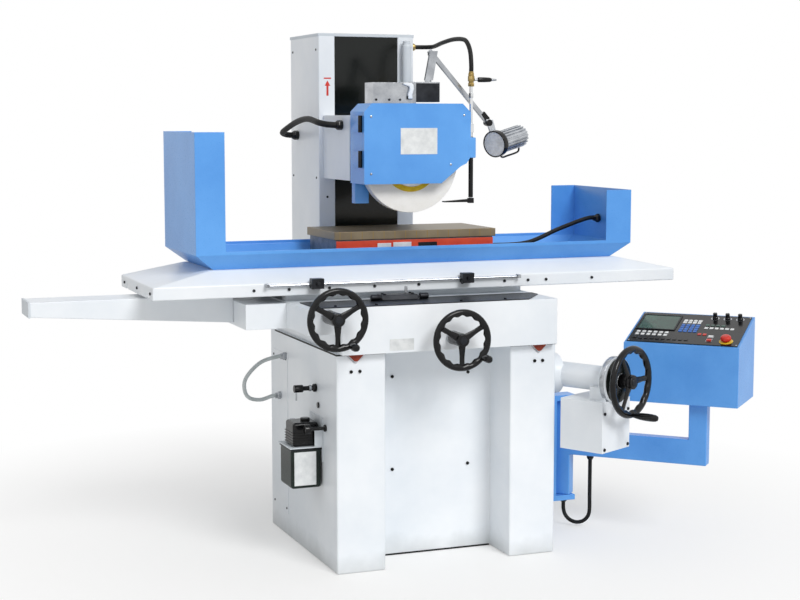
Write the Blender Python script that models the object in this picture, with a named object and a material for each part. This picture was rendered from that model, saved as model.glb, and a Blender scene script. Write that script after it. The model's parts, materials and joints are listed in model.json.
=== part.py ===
"""Surface grinder: a machine base with a cross saddle, a long table with its splash
tray and magnetic chuck, a column with an elevating wheel head, and a side console.

Metres, +Z up, +X to the operator's right, -Y towards the operator. The world origin is
on the floor under the middle of the base. Every y written below is measured back from
the base's front face, because the empty "front_datum" stands there and carries it all.
"""

from math import cos, pi, radians, sin

import bmesh
import bpy
from mathutils import Matrix, Vector

# ---------------------------------------------------------------- driving dimensions
GAP = 0.0003                 # between two pieces that touch
SLOPE_GAP = GAP * 1.42       # the same gap, measured straight up a 45 degree face

BASE_WIDTH = 0.79
BASE_FRONT_DEPTH = 0.736     # the wide part under the saddle
BASE_DEPTH = 1.16            # with the narrow part under the column
BASE_HEIGHT = 0.73
BASE_REAR_WIDTH = 0.52
TOE_WIDTH = 0.45             # the recess between the two front legs
TOE_DEPTH = 0.163
V_WAY_X = 0.33               # cross ways, left and right of the middle
V_WAY_DEPTH = 0.030

SADDLE_FRONT = -0.03
SADDLE_BACK = 0.68
SADDLE_WIDTH = 0.77
SADDLE_APRON_LEFT = -0.50
SADDLE_APRON_BOTTOM = 0.80
SADDLE_TOP = 0.885
LEDGE_THICKNESS = 0.003
WING_LENGTH = 0.14
WING_BOTTOM = 0.797
GUIDE_COVER_LENGTH = 0.68
GUIDE_COVER_ROOT = 0.095     # its depth where it leaves the wing
GUIDE_COVER_TIP = 0.048

TABLE_LENGTH = 1.91
TABLE_FRONT = 0.17
TABLE_BACK = 0.66
TABLE_BOTTOM = 0.909
TABLE_EDGE_TOP = 0.951
TABLE_TOP = 0.995
TABLE_TOP_LENGTH = 1.50
TABLE_SHOULDER = 0.065       # sloping run-off, front and back
TABLE_WAYS = (0.26, 0.57)    # front V way and back V way, by y
TABLE_WAY_DEPTH = 0.022
DOG_BOTTOM = 0.931

SHEET = 0.003
TRAY_FLOOR_LENGTH = 1.47
TRAY_LENGTH = 1.60
TRAY_FRONT = 0.215
TRAY_BACK = 0.655
TRAY_FLOOR_INSET = 0.035
TRAY_KNEE = 1.045
TRAY_LIP = 1.056
TRAY_LEFT_TOP = 1.445
TRAY_RIGHT_TOP = 1.235
TRAY_RETURN = 0.10           # front and back flanges of the end guards

CHUCK_LENGTH = 0.60
CHUCK_WIDTH = 0.30
CHUCK_FRONT = 0.29
CHUCK_TOP = 1.105
CHUCK_PLATE = 0.028
CHUCK_OVERHANG = 0.008

COLUMN_WIDTH = 0.374
COLUMN_FRONT = 0.79
COLUMN_BACK = 1.13
COLUMN_TOP = 1.80
CHANNEL_WIDTH = 0.248
CHANNEL_DEPTH = 0.045
COVER_THICKNESS = 0.005

SPINDLE_Z = 1.338
HEAD_WIDTH = 0.34
HEAD_FRONT = 0.50
HEAD_BOTTOM = 1.27
HEAD_TOP = 1.50
SPINDLE_RADIUS = 0.028
MOTOR_RADIUS = 0.056
MOTOR_FRONT = 0.56
MOTOR_BACK = 0.75

WHEEL_RADIUS = 0.175
WHEEL_THICKNESS = 0.038
WHEEL_BORE = 0.0635
WHEEL_FRONT = 0.345
FLANGE_RADIUS = 0.085
BLOTTER = 0.0008             # the paper washer between the wheel and its flange cover
GUARD_FRONT = 0.31
GUARD_BACK = 0.435
GUARD_WALL = 0.006
GUARD_LEFT = -0.19
GUARD_RIGHT = 0.205
GUARD_TOP = 1.54
GUARD_BOTTOM = 1.265
DOOR_THICKNESS = 0.0147
HINGE_AXIS = (-0.1965, 0.318)

RIM_RADIUS = 0.092           # the two front handwheels, to the middle of the rim
RIM_THICKNESS = 0.010
TABLE_WHEEL = (-0.434, -0.13, 0.860)
CROSS_WHEEL = (0.0, -0.11, 0.772)
LIFT_RIM_RADIUS = 0.112
LIFT_WHEEL = (BASE_WIDTH / 2 + 0.189, -0.185, 0.611)
LIFT_TURN = radians(-61.5)   # from +X to the way the elevating wheel faces

CONSOLE_TURN = radians(-45)
CONSOLE_POST = (BASE_WIDTH / 2 + 0.202, 0.323)

PALETTE = {
    "white": ((0.86, 0.88, 0.90), 0.35, 0.0),
    "blue": ((0.13, 0.38, 0.80), 0.35, 0.0),
    "black": ((0.02, 0.02, 0.025), 0.35, 0.0),
    "rubber": ((0.02, 0.02, 0.02), 0.7, 0.0),
    "steel": ((0.55, 0.56, 0.58), 0.3, 1.0),
    "iron": ((0.30, 0.31, 0.33), 0.5, 1.0),
    "brass": ((0.65, 0.48, 0.20), 0.3, 1.0),
    "orange": ((0.85, 0.17, 0.05), 0.4, 0.0),
    "red": ((0.75, 0.04, 0.03), 0.35, 0.0),
    "abrasive": ((0.88, 0.87, 0.84), 0.9, 0.0),
    "hose": ((0.70, 0.72, 0.72), 0.5, 0.0),
}


# ------------------------------------------------------------------ making a mesh
def clear_scene():
    for obj in list(bpy.data.objects):
        bpy.data.objects.remove(obj, do_unlink=True)


def material(name, colour):
    rgb, roughness, metallic = PALETTE[colour]
    made = bpy.data.materials.new(name)
    made.use_nodes = True
    shader = made.node_tree.nodes["Principled BSDF"]
    shader.inputs["Base Color"].default_value = (*rgb, 1.0)
    shader.inputs["Roughness"].default_value = roughness
    shader.inputs["Metallic"].default_value = metallic
    return made


def empty(name, place, turn=0.0, parent=None):
    """An empty turned about Z, for the pieces that hang from it."""
    made = bpy.data.objects.new(name, None)
    bpy.context.scene.collection.objects.link(made)
    made.parent = parent
    made.location = place
    made.rotation_euler = (0.0, 0.0, turn)
    return made


def bridge(mesh, rings, close=False):
    """Walls between successive rings of corners. Without close, the two ends are capped."""
    made = [[mesh.verts.new(point) for point in ring] for ring in rings]
    pairs = list(zip(made, made[1:]))
    if close:
        pairs.append((made[-1], made[0]))
    for low, high in pairs:
        count = len(low)
        for index in range(count):
            after = (index + 1) % count
            mesh.faces.new((low[index], low[after], high[after], high[index]))
    if not close:
        mesh.faces.new(made[0])
        mesh.faces.new(made[-1])
    return mesh


def loft(rings):
    return bridge(bmesh.new(), rings)


def box(x, y, z):
    rings = [[(x[0], y[0], h), (x[1], y[0], h), (x[1], y[1], h), (x[0], y[1], h)] for h in z]
    return loft(rings)


def prism(outline, ends, axis):
    """The outline's two coordinates are the other two axes, in X, Y, Z order."""
    place = {
        "x": lambda a, b, end: (end, a, b),
        "y": lambda a, b, end: (a, end, b),
        "z": lambda a, b, end: (a, b, end),
    }[axis]
    return loft([[place(a, b, end) for a, b in outline] for end in ends])


def turned(profile, sides, ring=False):
    """Turns (radius, height) corners about Z. A ring's profile closes on itself."""
    angles = [2 * pi * index / sides for index in range(sides)]
    rings = [[(r * cos(a), r * sin(a), h) for a in angles] for r, h in profile]
    return bridge(bmesh.new(), rings, close=ring)


def rod(radius, ends, sides=16):
    return turned([(radius, ends[0]), (radius, ends[1])], sides)


def washer(outer, inner, ends, sides=32):
    profile = [(outer, ends[0]), (outer, ends[1]), (inner, ends[1]), (inner, ends[0])]
    return turned(profile, sides, ring=True)


def aimed(mesh, direction, place=(0, 0, 0)):
    """Turns a mesh made about Z so that its +Z points along direction."""
    turn = Vector((0, 0, 1)).rotation_difference(Vector(direction)).to_matrix().to_4x4()
    mesh.transform(Matrix.Translation(place) @ turn)
    return mesh


def node(name, mesh, colour, parent, place=(0, 0, 0), bevel=0.0):
    """One piece of the machine, from a bmesh, with its own material."""
    bmesh.ops.recalc_face_normals(mesh, faces=mesh.faces[:])
    data = bpy.data.meshes.new(name)
    mesh.to_mesh(data)
    mesh.free()
    made = bpy.data.objects.new(name, data)
    bpy.context.scene.collection.objects.link(made)
    made.parent = parent
    made.location = place
    if colour:
        data.materials.append(material(name, colour))
        data.shade_smooth()
        data.set_sharp_from_angle(angle=radians(35))
    if bevel:
        edge = made.modifiers.new("edges", "BEVEL")
        edge.width = bevel
        edge.segments = 1
        edge.limit_method = "ANGLE"
    return made


def combine(target, mesh, operation):
    """Adds a shape to a piece, or cuts it out, with a hidden helper object."""
    name = f"{target.name}_{operation.lower()}_{len(target.modifiers)}"
    helper = node(name, mesh, None, target)
    helper.hide_render = True
    helper.display_type = "WIRE"
    step = target.modifiers.new(operation.lower(), "BOOLEAN")
    step.operation = operation
    step.object = helper
    step.solver = "EXACT"


def add(target, mesh):
    combine(target, mesh, "UNION")


def cut(target, mesh):
    combine(target, mesh, "DIFFERENCE")


def smooth_route(points, spacing):
    """Even points along a Catmull-Rom curve through the route's own points."""
    knots = [Vector(point) for point in points]
    knots = [2 * knots[0] - knots[1], *knots, 2 * knots[-1] - knots[-2]]
    fine = []
    for a, b, c, d in zip(knots, knots[1:], knots[2:], knots[3:]):
        for step in range(20):
            t = step / 20
            fine.append(0.5 * (2 * b + (c - a) * t + (2 * a - 5 * b + 4 * c - d) * t ** 2
                               + (3 * b - a - 3 * c + d) * t ** 3))
    fine.append(knots[-2])
    length = sum((after - point).length for point, after in zip(fine, fine[1:]))
    count = max(2, round(length / spacing))
    even = [fine[0]]
    walked = 0.0
    for point, after in zip(fine, fine[1:]):
        walked += (after - point).length
        if walked >= length / count * len(even) and len(even) < count:
            even.append(after)
    even.append(fine[-1])
    # The first and last steps run straight, so that each end sits square on its seat.
    first, last = knots[2] - knots[1], knots[-3] - knots[-2]
    even[1] = even[0] + first.normalized() * (even[1] - even[0]).length
    even[-2] = even[-1] + last.normalized() * (even[-2] - even[-1]).length
    return even


def cord(name, points, radius, colour, parent):
    """A plain tube along a free cord or hose."""
    curve = bpy.data.curves.new(name, "CURVE")
    curve.dimensions = "3D"
    curve.bevel_depth = radius
    curve.bevel_resolution = 2
    curve.use_fill_caps = True
    route = smooth_route(points, 5 * radius)
    line = curve.splines.new("POLY")
    line.points.add(len(route) - 1)
    for knot, point in zip(line.points, route):
        knot.co = (*point, 1.0)
    made = bpy.data.objects.new(name, curve)
    bpy.context.scene.collection.objects.link(made)
    made.parent = parent
    curve.materials.append(material(name, colour))
    return made


# ------------------------------------------------------------- base and cross saddle
def v_outline(x, top, depth):
    """A V that points down, with 45 degree faces, as (x, z) corners."""
    return [(x - depth, top), (x, top - depth), (x + depth, top)]


def rail_outline(x):
    """The V that rides in a base way, up to the saddle's underside."""
    reach = V_WAY_DEPTH - SLOPE_GAP + GAP
    return v_outline(x, BASE_HEIGHT + GAP, reach)


def make_base(datum):
    side, rear, toe = BASE_WIDTH / 2, BASE_REAR_WIDTH / 2, TOE_WIDTH / 2
    outline = [
        (-side, 0), (-toe, 0), (-toe, TOE_DEPTH), (toe, TOE_DEPTH), (toe, 0), (side, 0),
        (side, BASE_FRONT_DEPTH), (rear, BASE_FRONT_DEPTH), (rear, BASE_DEPTH),
        (-rear, BASE_DEPTH), (-rear, BASE_FRONT_DEPTH), (-side, BASE_FRONT_DEPTH),
    ]
    base = node("base_casting", prism(outline, (0, BASE_HEIGHT), "z"), "white", datum)
    for x in (-V_WAY_X, V_WAY_X):
        groove = v_outline(x, BASE_HEIGHT + 0.01, V_WAY_DEPTH + 0.01)
        cut(base, prism(groove, (-0.02, BASE_FRONT_DEPTH + 0.02), "y"))


def table_way(y, raise_by):
    """A ridge that points up under the table, as (y, z) corners, or the groove over it."""
    top = TABLE_BOTTOM + TABLE_WAY_DEPTH + raise_by
    spread = TABLE_WAY_DEPTH + raise_by
    return [(y - spread, TABLE_BOTTOM), (y, top), (y + spread, TABLE_BOTTOM)]


def make_saddle(datum):
    side = SADDLE_WIDTH / 2
    under = BASE_HEIGHT + GAP
    outline = [
        (-side, under), (side, under), (side, SADDLE_TOP), (SADDLE_APRON_LEFT, SADDLE_TOP),
        (SADDLE_APRON_LEFT, SADDLE_APRON_BOTTOM), (-side, SADDLE_APRON_BOTTOM),
    ]
    body = prism(outline, (SADDLE_FRONT, SADDLE_BACK), "y")
    saddle = node("saddle_casting", body, "white", datum)
    for x in (-V_WAY_X, V_WAY_X):
        left, tip, right = rail_outline(x)
        raised = [left, tip, right, (right[0], under + 0.01), (left[0], under + 0.01)]
        add(saddle, prism(raised, (0, SADDLE_BACK), "y"))
    for y in TABLE_WAYS:
        low, tip, high = table_way(y, -SLOPE_GAP)
        foot = SADDLE_TOP - 0.01
        ridge = [(low[0], foot), low, tip, high, (high[0], foot)]
        add(saddle, prism(ridge, (SADDLE_APRON_LEFT + 0.01, side - 0.01), "x"))
    ledge = [
        (SADDLE_APRON_LEFT + 0.03, SADDLE_FRONT + 0.002), (0.28, SADDLE_FRONT + 0.002),
        (side - 0.01, 0.10), (side - 0.01, 0.15), (SADDLE_APRON_LEFT + 0.03, 0.15),
    ]
    top = SADDLE_TOP + GAP + LEDGE_THICKNESS
    node("saddle_ledge_plate", prism(ledge, (SADDLE_TOP + GAP, top), "z"), "black", datum)
    crown = 0.905
    valve = [(0.095, top + GAP), (0.150, top + GAP), (0.150, crown), (0.105, crown)]
    node("reversing_valve", prism(valve, (-0.20, -0.07), "x"), "iron", datum)
    # The lever stands on its pointed foot and stays just under the dogs that pass over it.
    height = DOG_BOTTOM - 0.002 - crown
    lever = [
        (0, 0), (0.006, 0.004), (0.004, height - GAP), (-0.004, height - GAP), (-0.006, 0.004),
    ]
    node("reversing_lever", prism(lever, (-0.004, 0.004), "y"), "steel", datum,
         (-0.10, 0.137, crown + GAP))
    make_saddle_wing(datum, saddle)


def make_saddle_wing(datum, saddle):
    """The box on the saddle's left end, and the tapered cover that it carries."""
    wing_left = SADDLE_APRON_LEFT - WING_LENGTH
    wing = (wing_left, SADDLE_APRON_LEFT + 0.01)
    add(saddle, box(wing, (0.20, 0.50), (WING_BOTTOM, SADDLE_TOP - 0.004)))
    root = wing_left - GAP
    tip = root - GUIDE_COVER_LENGTH
    top = TABLE_BOTTOM - 0.009
    outline = [
        (tip, top), (tip, top - GUIDE_COVER_TIP),
        (root, max(top - GUIDE_COVER_ROOT, WING_BOTTOM)), (root, top),
    ]
    node("guideway_cover", prism(outline, (0.35, 0.49), "y"), "white", datum)


# ------------------------------------------------------ table, tray, chuck and stops
def make_table(datum):
    length, top = TABLE_LENGTH / 2, TABLE_TOP_LENGTH / 2
    front, back = TABLE_FRONT, TABLE_BACK
    levels = [
        (length, front, back, TABLE_BOTTOM), (length, front, back, TABLE_EDGE_TOP),
        (top, front + TABLE_SHOULDER, back - TABLE_SHOULDER, TABLE_TOP),
    ]
    rings = [[(-x, a, z), (x, a, z), (x, b, z), (-x, b, z)] for x, a, b, z in levels]
    table = node("table_casting", loft(rings), "white", datum)
    for y in TABLE_WAYS:
        low, tip, high = table_way(y, 0)
        groove = [(low[0] - 0.01, low[1] - 0.01), tip, (high[0] + 0.01, high[1] - 0.01)]
        cut(table, prism(groove, (-length - 0.02, length + 0.02), "x"))


def make_tray(datum):
    """A folded sheet tray whose ends stand up as splash guards."""
    floor = TABLE_TOP + GAP
    half, low = TRAY_LENGTH / 2, TRAY_FLOOR_LENGTH / 2
    mesh = bmesh.new()
    outer = tray_shell(mesh, floor, half, low, 0.0)
    lining = tray_shell(mesh, floor + SHEET, half, low, SHEET)
    count = len(outer)
    for index in range(count):
        after = (index + 1) % count
        mesh.faces.new((outer[index], outer[after], lining[after], lining[index]))
    node("splash_tray", mesh, "blue", datum)


def tray_shell(mesh, floor, half, low, skin):
    """One side of the tray's sheet. Returns the corners along its top edge."""
    half, low = half - skin, low - skin
    inner = TRAY_LENGTH / 2 - TRAY_RETURN
    stops = [-inner, inner]
    front, back, inset = TRAY_FRONT + skin, TRAY_BACK - skin, TRAY_FLOOR_INSET
    bottom = [(-low, front + inset), (stops[0], front + inset), (stops[1], front + inset),
              (low, front + inset), (low, back - inset), (stops[1], back - inset),
              (stops[0], back - inset), (-low, back - inset)]
    knee = [(-half, front), (stops[0], front), (stops[1], front), (half, front),
            (half, back), (stops[1], back), (stops[0], back), (-half, back)]
    bottom = [mesh.verts.new((x, y, floor)) for x, y in bottom]
    knee = [mesh.verts.new((x, y, TRAY_KNEE)) for x, y in knee]
    lip = [mesh.verts.new((v.co.x, v.co.y, TRAY_LIP)) if i in (1, 2, 5, 6) else None
           for i, v in enumerate(knee)]
    tall = {}
    for index in (0, 1, 6, 7):
        tall[index] = mesh.verts.new((knee[index].co.x, knee[index].co.y, TRAY_LEFT_TOP))
    for index in (2, 3, 4, 5):
        tall[index] = mesh.verts.new((knee[index].co.x, knee[index].co.y, TRAY_RIGHT_TOP))
    mesh.faces.new((bottom[0], bottom[1], bottom[6], bottom[7]))
    mesh.faces.new((bottom[1], bottom[2], bottom[5], bottom[6]))
    mesh.faces.new((bottom[2], bottom[3], bottom[4], bottom[5]))
    for index in range(8):
        after = (index + 1) % 8
        mesh.faces.new((bottom[index], bottom[after], knee[after], knee[index]))
    mesh.faces.new((knee[1], knee[2], lip[2], lip[1]))
    mesh.faces.new((knee[5], knee[6], lip[6], lip[5]))
    mesh.faces.new((knee[7], knee[0], tall[0], tall[7]))
    mesh.faces.new((knee[0], knee[1], lip[1], tall[1], tall[0]))
    mesh.faces.new((knee[6], knee[7], tall[7], tall[6], lip[6]))
    mesh.faces.new((knee[3], knee[4], tall[4], tall[3]))
    mesh.faces.new((knee[2], knee[3], tall[3], tall[2], lip[2]))
    mesh.faces.new((knee[4], knee[5], lip[5], tall[5], tall[4]))
    return [tall[0], tall[1], lip[1], lip[2], tall[2], tall[3],
            tall[4], tall[5], lip[5], lip[6], tall[6], tall[7]]


def make_chuck(datum):
    """The magnetic chuck: a base, a front panel over its coils and the ground top plate."""
    low = TABLE_TOP + GAP + SHEET + GAP
    plate = CHUCK_TOP - CHUCK_PLATE
    half = CHUCK_LENGTH / 2 - CHUCK_OVERHANG
    front, back = CHUCK_FRONT + CHUCK_OVERHANG, CHUCK_FRONT + CHUCK_WIDTH - CHUCK_OVERHANG
    body = box((-half, half), (front, back), (low, plate - GAP))
    node("chuck_base", body, "iron", datum)
    panel = box((-half, half), (front - 0.004, front - GAP), (low, plate - 0.004))
    node("chuck_front_panel", panel, "orange", datum)
    length, width = CHUCK_LENGTH / 2, (CHUCK_FRONT, CHUCK_FRONT + CHUCK_WIDTH)
    top = box((-length, length), width, (plate, CHUCK_TOP))
    node("chuck_top_plate", top, "steel", datum, bevel=0.001)
    wall = TRAY_LENGTH / 2 - SHEET
    inlet = 0.40
    start = half + GAP
    route = [
        (start, inlet, 1.035), (start + 0.04, inlet, 1.035), (0.48, 0.41, 1.04),
        (0.62, 0.43, 1.085), (wall - 0.05, 0.45, 1.12), (wall - GAP, 0.45, 1.12),
    ]
    cord("chuck_cable", route, 0.008, "rubber", datum)


def make_table_stops(datum):
    """The rail along the table's front edge and the two dogs that reverse its stroke."""
    y, z, radius = 0.158, 0.945, 0.004
    face = TABLE_FRONT - GAP
    ends = (-0.57, 0.32)
    rail = node("dog_rail", aimed(rod(radius, ends, 8), (1, 0, 0), (0, y, z)), "steel", datum)
    for x in (ends[0] + 0.01, ends[1] - 0.01):
        add(rail, aimed(rod(radius * 0.9, (0, face - y), 8), (0, 1, 0), (x, y, z)))
    clear = radius + GAP
    outline = [
        (0.135, DOG_BOTTOM), (0.1655, DOG_BOTTOM), (0.1655, z - clear), (y - clear, z - clear),
        (y - clear, z + clear), (0.1655, z + clear), (0.1655, 0.965), (0.135, 0.965),
    ]
    for name, x in (("left_dog", -0.41), ("right_dog", 0.13)):
        node(name, prism(outline, (-0.021, 0.021), "x"), "iron", datum, (x, 0, 0))


# ---------------------------------------------------------------- column and head
def make_column(datum):
    side, slot = COLUMN_WIDTH / 2, CHANNEL_WIDTH / 2
    front, back, floor = COLUMN_FRONT, COLUMN_BACK, COLUMN_FRONT + CHANNEL_DEPTH
    outline = [
        (-side, front), (-slot, front), (-slot, floor), (slot, floor), (slot, front),
        (side, front), (side, back), (-side, back),
    ]
    column = prism(outline, (BASE_HEIGHT + GAP, COLUMN_TOP), "z")
    node("column_casting", column, "white", datum)
    wide = slot - GAP
    depth = (front + 0.004, front + 0.004 + COVER_THICKNESS)
    upper = box((-wide, wide), depth, (HEAD_TOP + GAP, COLUMN_TOP - GAP))
    node("upper_way_cover", upper, "black", datum)
    lower = box((-wide, wide), depth, (BASE_HEIGHT + 2 * GAP, HEAD_BOTTOM - GAP))
    node("lower_way_cover", lower, "black", datum)


def make_head(datum):
    side, tongue = HEAD_WIDTH / 2, CHANNEL_WIDTH / 2 - GAP
    back = COLUMN_FRONT - GAP
    reach = COLUMN_FRONT + CHANNEL_DEPTH - GAP
    outline = [
        (-side, HEAD_FRONT), (side, HEAD_FRONT), (side, back), (tongue, back),
        (tongue, reach), (-tongue, reach), (-tongue, back), (-side, back),
    ]
    head = node("head_casting", prism(outline, (HEAD_BOTTOM, HEAD_TOP), "z"), "white", datum)
    hole = (MOTOR_RADIUS + GAP) / cos(pi / 32)
    along = (HEAD_FRONT - 0.02, MOTOR_BACK + GAP)
    centre = (0, 0, SPINDLE_Z)
    cut(head, aimed(rod(hole, (-along[1], -along[0]), 32), (0, -1, 0), centre))
    motor = aimed(rod(MOTOR_RADIUS, (-MOTOR_BACK, -MOTOR_FRONT), 32), (0, -1, 0), centre)
    node("spindle_motor", motor, "iron", datum)
    bore = (SPINDLE_RADIUS + GAP) / cos(pi / 24)
    ends = (-(MOTOR_FRONT - GAP), -(GUARD_BACK + GAP))
    sleeve = aimed(washer(MOTOR_RADIUS, bore, ends, 32), (0, -1, 0), centre)
    node("spindle_housing", sleeve, "iron", datum)


def make_spindle(datum):
    """Everything that turns with the wheel, each piece centred on the spindle's axis."""
    place = (0, 0, SPINDLE_Z)
    front, back = WHEEL_FRONT, WHEEL_FRONT + WHEEL_THICKNESS
    facing = (0, -1, 0)
    radius, nut, seat = SPINDLE_RADIUS, 0.045, -(front - 0.010 - GAP)
    profile = [
        (radius, -(MOTOR_FRONT - 2 * GAP)), (radius, seat), (nut, seat),
        (nut, -(front - 0.024)),
    ]
    node("spindle_shaft", aimed(turned(profile, 24), facing), "steel", datum, place)
    bore = (SPINDLE_RADIUS + GAP) / cos(pi / 24)
    hub, rim = WHEEL_BORE - GAP, FLANGE_RADIUS
    profile = [
        (hub, -(front - 0.010)), (bore, -(front - 0.010)), (bore, -(back + 0.014)),
        (rim, -(back + 0.014)), (rim, -(back + GAP)), (hub, -(back + GAP)),
    ]
    node("wheel_flange", aimed(turned(profile, 32, ring=True), facing), "steel", datum, place)
    hole = WHEEL_BORE / cos(pi / 32)
    wheel = washer(WHEEL_RADIUS, hole, (-back, -front), 64)
    node("grinding_wheel", aimed(wheel, facing), "abrasive", datum, place)
    cover = washer(FLANGE_RADIUS, hole, (-(front - BLOTTER), -(front - 0.010)), 32)
    node("flange_cover", aimed(cover, facing), "steel", datum, place)


def guard_outline():
    """The wheel guard seen from the front, as (x, z) corners."""
    left, right, top, bottom = GUARD_LEFT, GUARD_RIGHT, GUARD_TOP, GUARD_BOTTOM
    return [
        (left, bottom), (0.095, bottom), (0.168, bottom + 0.058), (0.190, bottom + 0.068),
        (right, bottom + 0.090), (right, top - 0.030), (right - 0.030, top),
        (left + 0.028, top), (left, top - 0.028),
    ]


def make_guard(datum):
    shell = prism(guard_outline(), (GUARD_FRONT, GUARD_BACK), "y")
    guard = node("wheel_guard", shell, "blue", datum)
    left, right, top = GUARD_LEFT + GUARD_WALL, GUARD_RIGHT - GUARD_WALL, GUARD_TOP - GUARD_WALL
    pocket = [
        (left, GUARD_BOTTOM - 0.02), (right, GUARD_BOTTOM - 0.02), (right, top - 0.028),
        (right - 0.028, top), (left + 0.026, top), (left, top - 0.026),
    ]
    back = GUARD_BACK - GUARD_WALL
    cut(guard, prism(pocket, (GUARD_FRONT - 0.02, back), "y"))
    opening = rod(0.040, (-(GUARD_BACK + 0.01), -(back - 0.01)), 24)
    cut(guard, aimed(opening, (0, -1, 0), (0, 0, SPINDLE_Z)))
    skirt = [(-0.185, 1.195), (-0.135, 1.195), (-0.135, 1.30), (-0.185, 1.30)]
    add(guard, prism(skirt, (0.402, GUARD_BACK), "y"))
    x, y = HINGE_AXIS
    for z in (1.47, 1.35):
        leaf = (x - 0.0035, GUARD_LEFT + 0.003)
        add(guard, box(leaf, (y, y + 0.070), (z - 0.028, z + 0.028)))
        knuckle = rod(0.006, (z - 0.028, z + 0.028), 10)
        knuckle.transform(Matrix.Translation((x, y, 0)))
        add(guard, knuckle)


def make_door(datum):
    """The guard's front door and its latch, with their origins on the hinge axis."""
    x, y = HINGE_AXIS
    back = GUARD_FRONT - GAP - y
    outline = [(a - x, b) for a, b in guard_outline()]
    door = prism(outline, (back - DOOR_THICKNESS, back), "y")
    leaf = node("guard_door", door, "blue", datum, (x, y, 0))
    edge = GUARD_RIGHT - x
    front = back - DOOR_THICKNESS
    add(leaf, box((edge - 0.005, edge + 0.020), (front + 0.001, back - 0.001), (1.36, 1.415)))
    add(leaf, box((edge + GAP, edge + 0.020), (front + 0.005, back + 0.020), (1.36, 1.415)))


def make_coolant(datum):
    x, y = GUARD_RIGHT + 0.025, 0.35
    low, high, radius = 1.21, 1.60, 0.006
    pipe = node("coolant_pipe", rod(radius, (low, high), 10), "steel", datum, (x, y, 0))
    add(pipe, box((GUARD_RIGHT + GAP - x, 0), (-0.012, 0.012), (1.44, 1.47)))
    nozzle = box((-0.009, 0.009), (-0.009, 0.009), (-0.018 - GAP, -GAP))
    spout = node("coolant_nozzle", nozzle, "black", datum, (x, y, low))
    rings = [
        [(px, -w, h - t), (px, w, h - t), (px, w, h + t), (px, -w, h + t)]
        for px, w, t, h in ((0.0, 0.006, 0.006, -0.009), (-0.105, 0.012, 0.002, -0.012))
    ]
    add(spout, loft(rings))
    profile = [(0.009, 0), (0.012, 0.006), (0.012, 0.040), (0.009, 0.052)]
    body = turned([(r, h + high + GAP) for r, h in profile], 12)
    node("coolant_valve", body, "brass", datum, (x, y, 0))
    stem = [(0.004, 0.0), (0.004, 0.012), (0.009, 0.014), (0.009, 0.060), (0.003, 0.085)]
    tap = aimed(turned([(r, h + 0.012 + GAP) for r, h in stem], 10), (1, 0, 0))
    node("coolant_tap", tap, "black", datum, (x, y, high + 0.024))
    top, wall = high + 0.052 + 2 * GAP, COLUMN_WIDTH / 2 + GAP
    route = [
        (x, y, top), (x, y, top + 0.025), (0.231, 0.362, 1.7226), (0.233, 0.395, 1.7555),
        (0.236, 0.44, 1.768), (0.242, 0.54, 1.772), (0.2465, 0.65, 1.765),
        (wall + 0.075, 0.765, 1.757), (wall + 0.0676, 0.7925, 1.755),
        (wall + 0.0475, 0.8126, 1.755), (wall + 0.020, 0.820, 1.755), (wall, 0.820, 1.755),
    ]
    cord("coolant_hose", route, 0.008, "rubber", datum)
    side = HEAD_WIDTH / 2 + GAP
    route = [
        (-side, 0.58, 1.465), (-side - 0.020, 0.58, 1.465), (-side - 0.0475, 0.5874, 1.467),
        (-side - 0.0676, 0.6075, 1.471), (-side - 0.075, 0.635, 1.476), (-0.2475, 0.74, 1.487),
        (-0.2515, 0.86, 1.475), (-wall - 0.075, 0.985, 1.441), (-wall - 0.0676, 1.0125, 1.432),
        (-wall - 0.0475, 1.0326, 1.427), (-wall - 0.020, 1.04, 1.425), (-wall, 1.04, 1.425),
    ]
    cord("motor_conduit", route, 0.011, "rubber", datum)


def make_dresser(datum):
    """The wheel dresser on the guard's top and the work lamp that its bracket carries."""
    low = GUARD_TOP + GAP
    body = node("dresser_body", box((-0.14, 0.02), (0.345, 0.425), (low, 1.612)), "steel", datum)
    add(body, box((0.01, 0.115), (0.36, 0.424), (low + 0.006, 1.615)))
    lever = [(-0.006, 0.008), (0.006, 0.008), (0.004, -0.045), (-0.008, -0.045)]
    node("dresser_lever", prism(lever, (-0.008, 0), "y"), "white", datum, (-0.005, 0.345 - GAP, 1.60))
    base_x, arm_y = 0.085, 0.395
    post = rod(0.012, (0, 0.012), 12)
    lower = node("lamp_lower_arm", post, "steel", datum, (base_x, arm_y, 1.615 + GAP))
    slope = [(-0.016, 0.006), (0.014, 0.006), (0.032, 0.108), (0.004, 0.108)]
    add(lower, prism(slope, (-0.012, -GAP), "y"))
    elbow = (base_x + 0.018, arm_y, 1.615 + 0.098)
    reach, drop = 0.215, -0.240
    across = Vector((reach, 0, drop)).normalized() * 0.008
    bar = [
        (-0.012 - across.z, 0.012 + across.x), (reach - across.z, drop + across.x),
        (reach + across.z, drop - across.x), (-0.012 + across.z, 0.012 - across.x),
    ]
    node("lamp_upper_arm", prism(bar, (0, 0.012), "y"), "steel", datum, elbow)
    make_lamp_head(datum, (elbow[0] + reach, arm_y - GAP, elbow[2] + drop))


def make_lamp_head(datum, pivot):
    """The lamp hangs from its pivot in an ear, and its lens looks along aim."""
    aim = Vector((-0.852, -0.493, -0.18)).normalized()
    ear = [(-0.014, 0.012), (0.014, 0.012), (0.030, -0.040), (0.004, -0.040)]
    lamp = node("lamp_head", prism(ear, (-0.010, 0), "y"), "steel", datum, pivot)
    profile = [(0.030, -0.10), (0.040, -0.09), (0.040, 0.045), (0.048, 0.052), (0.048, 0.075)]
    centre = Vector((0.055, -0.030, -0.062))
    add(lamp, aimed(turned(profile, 20), aim, centre))


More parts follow.
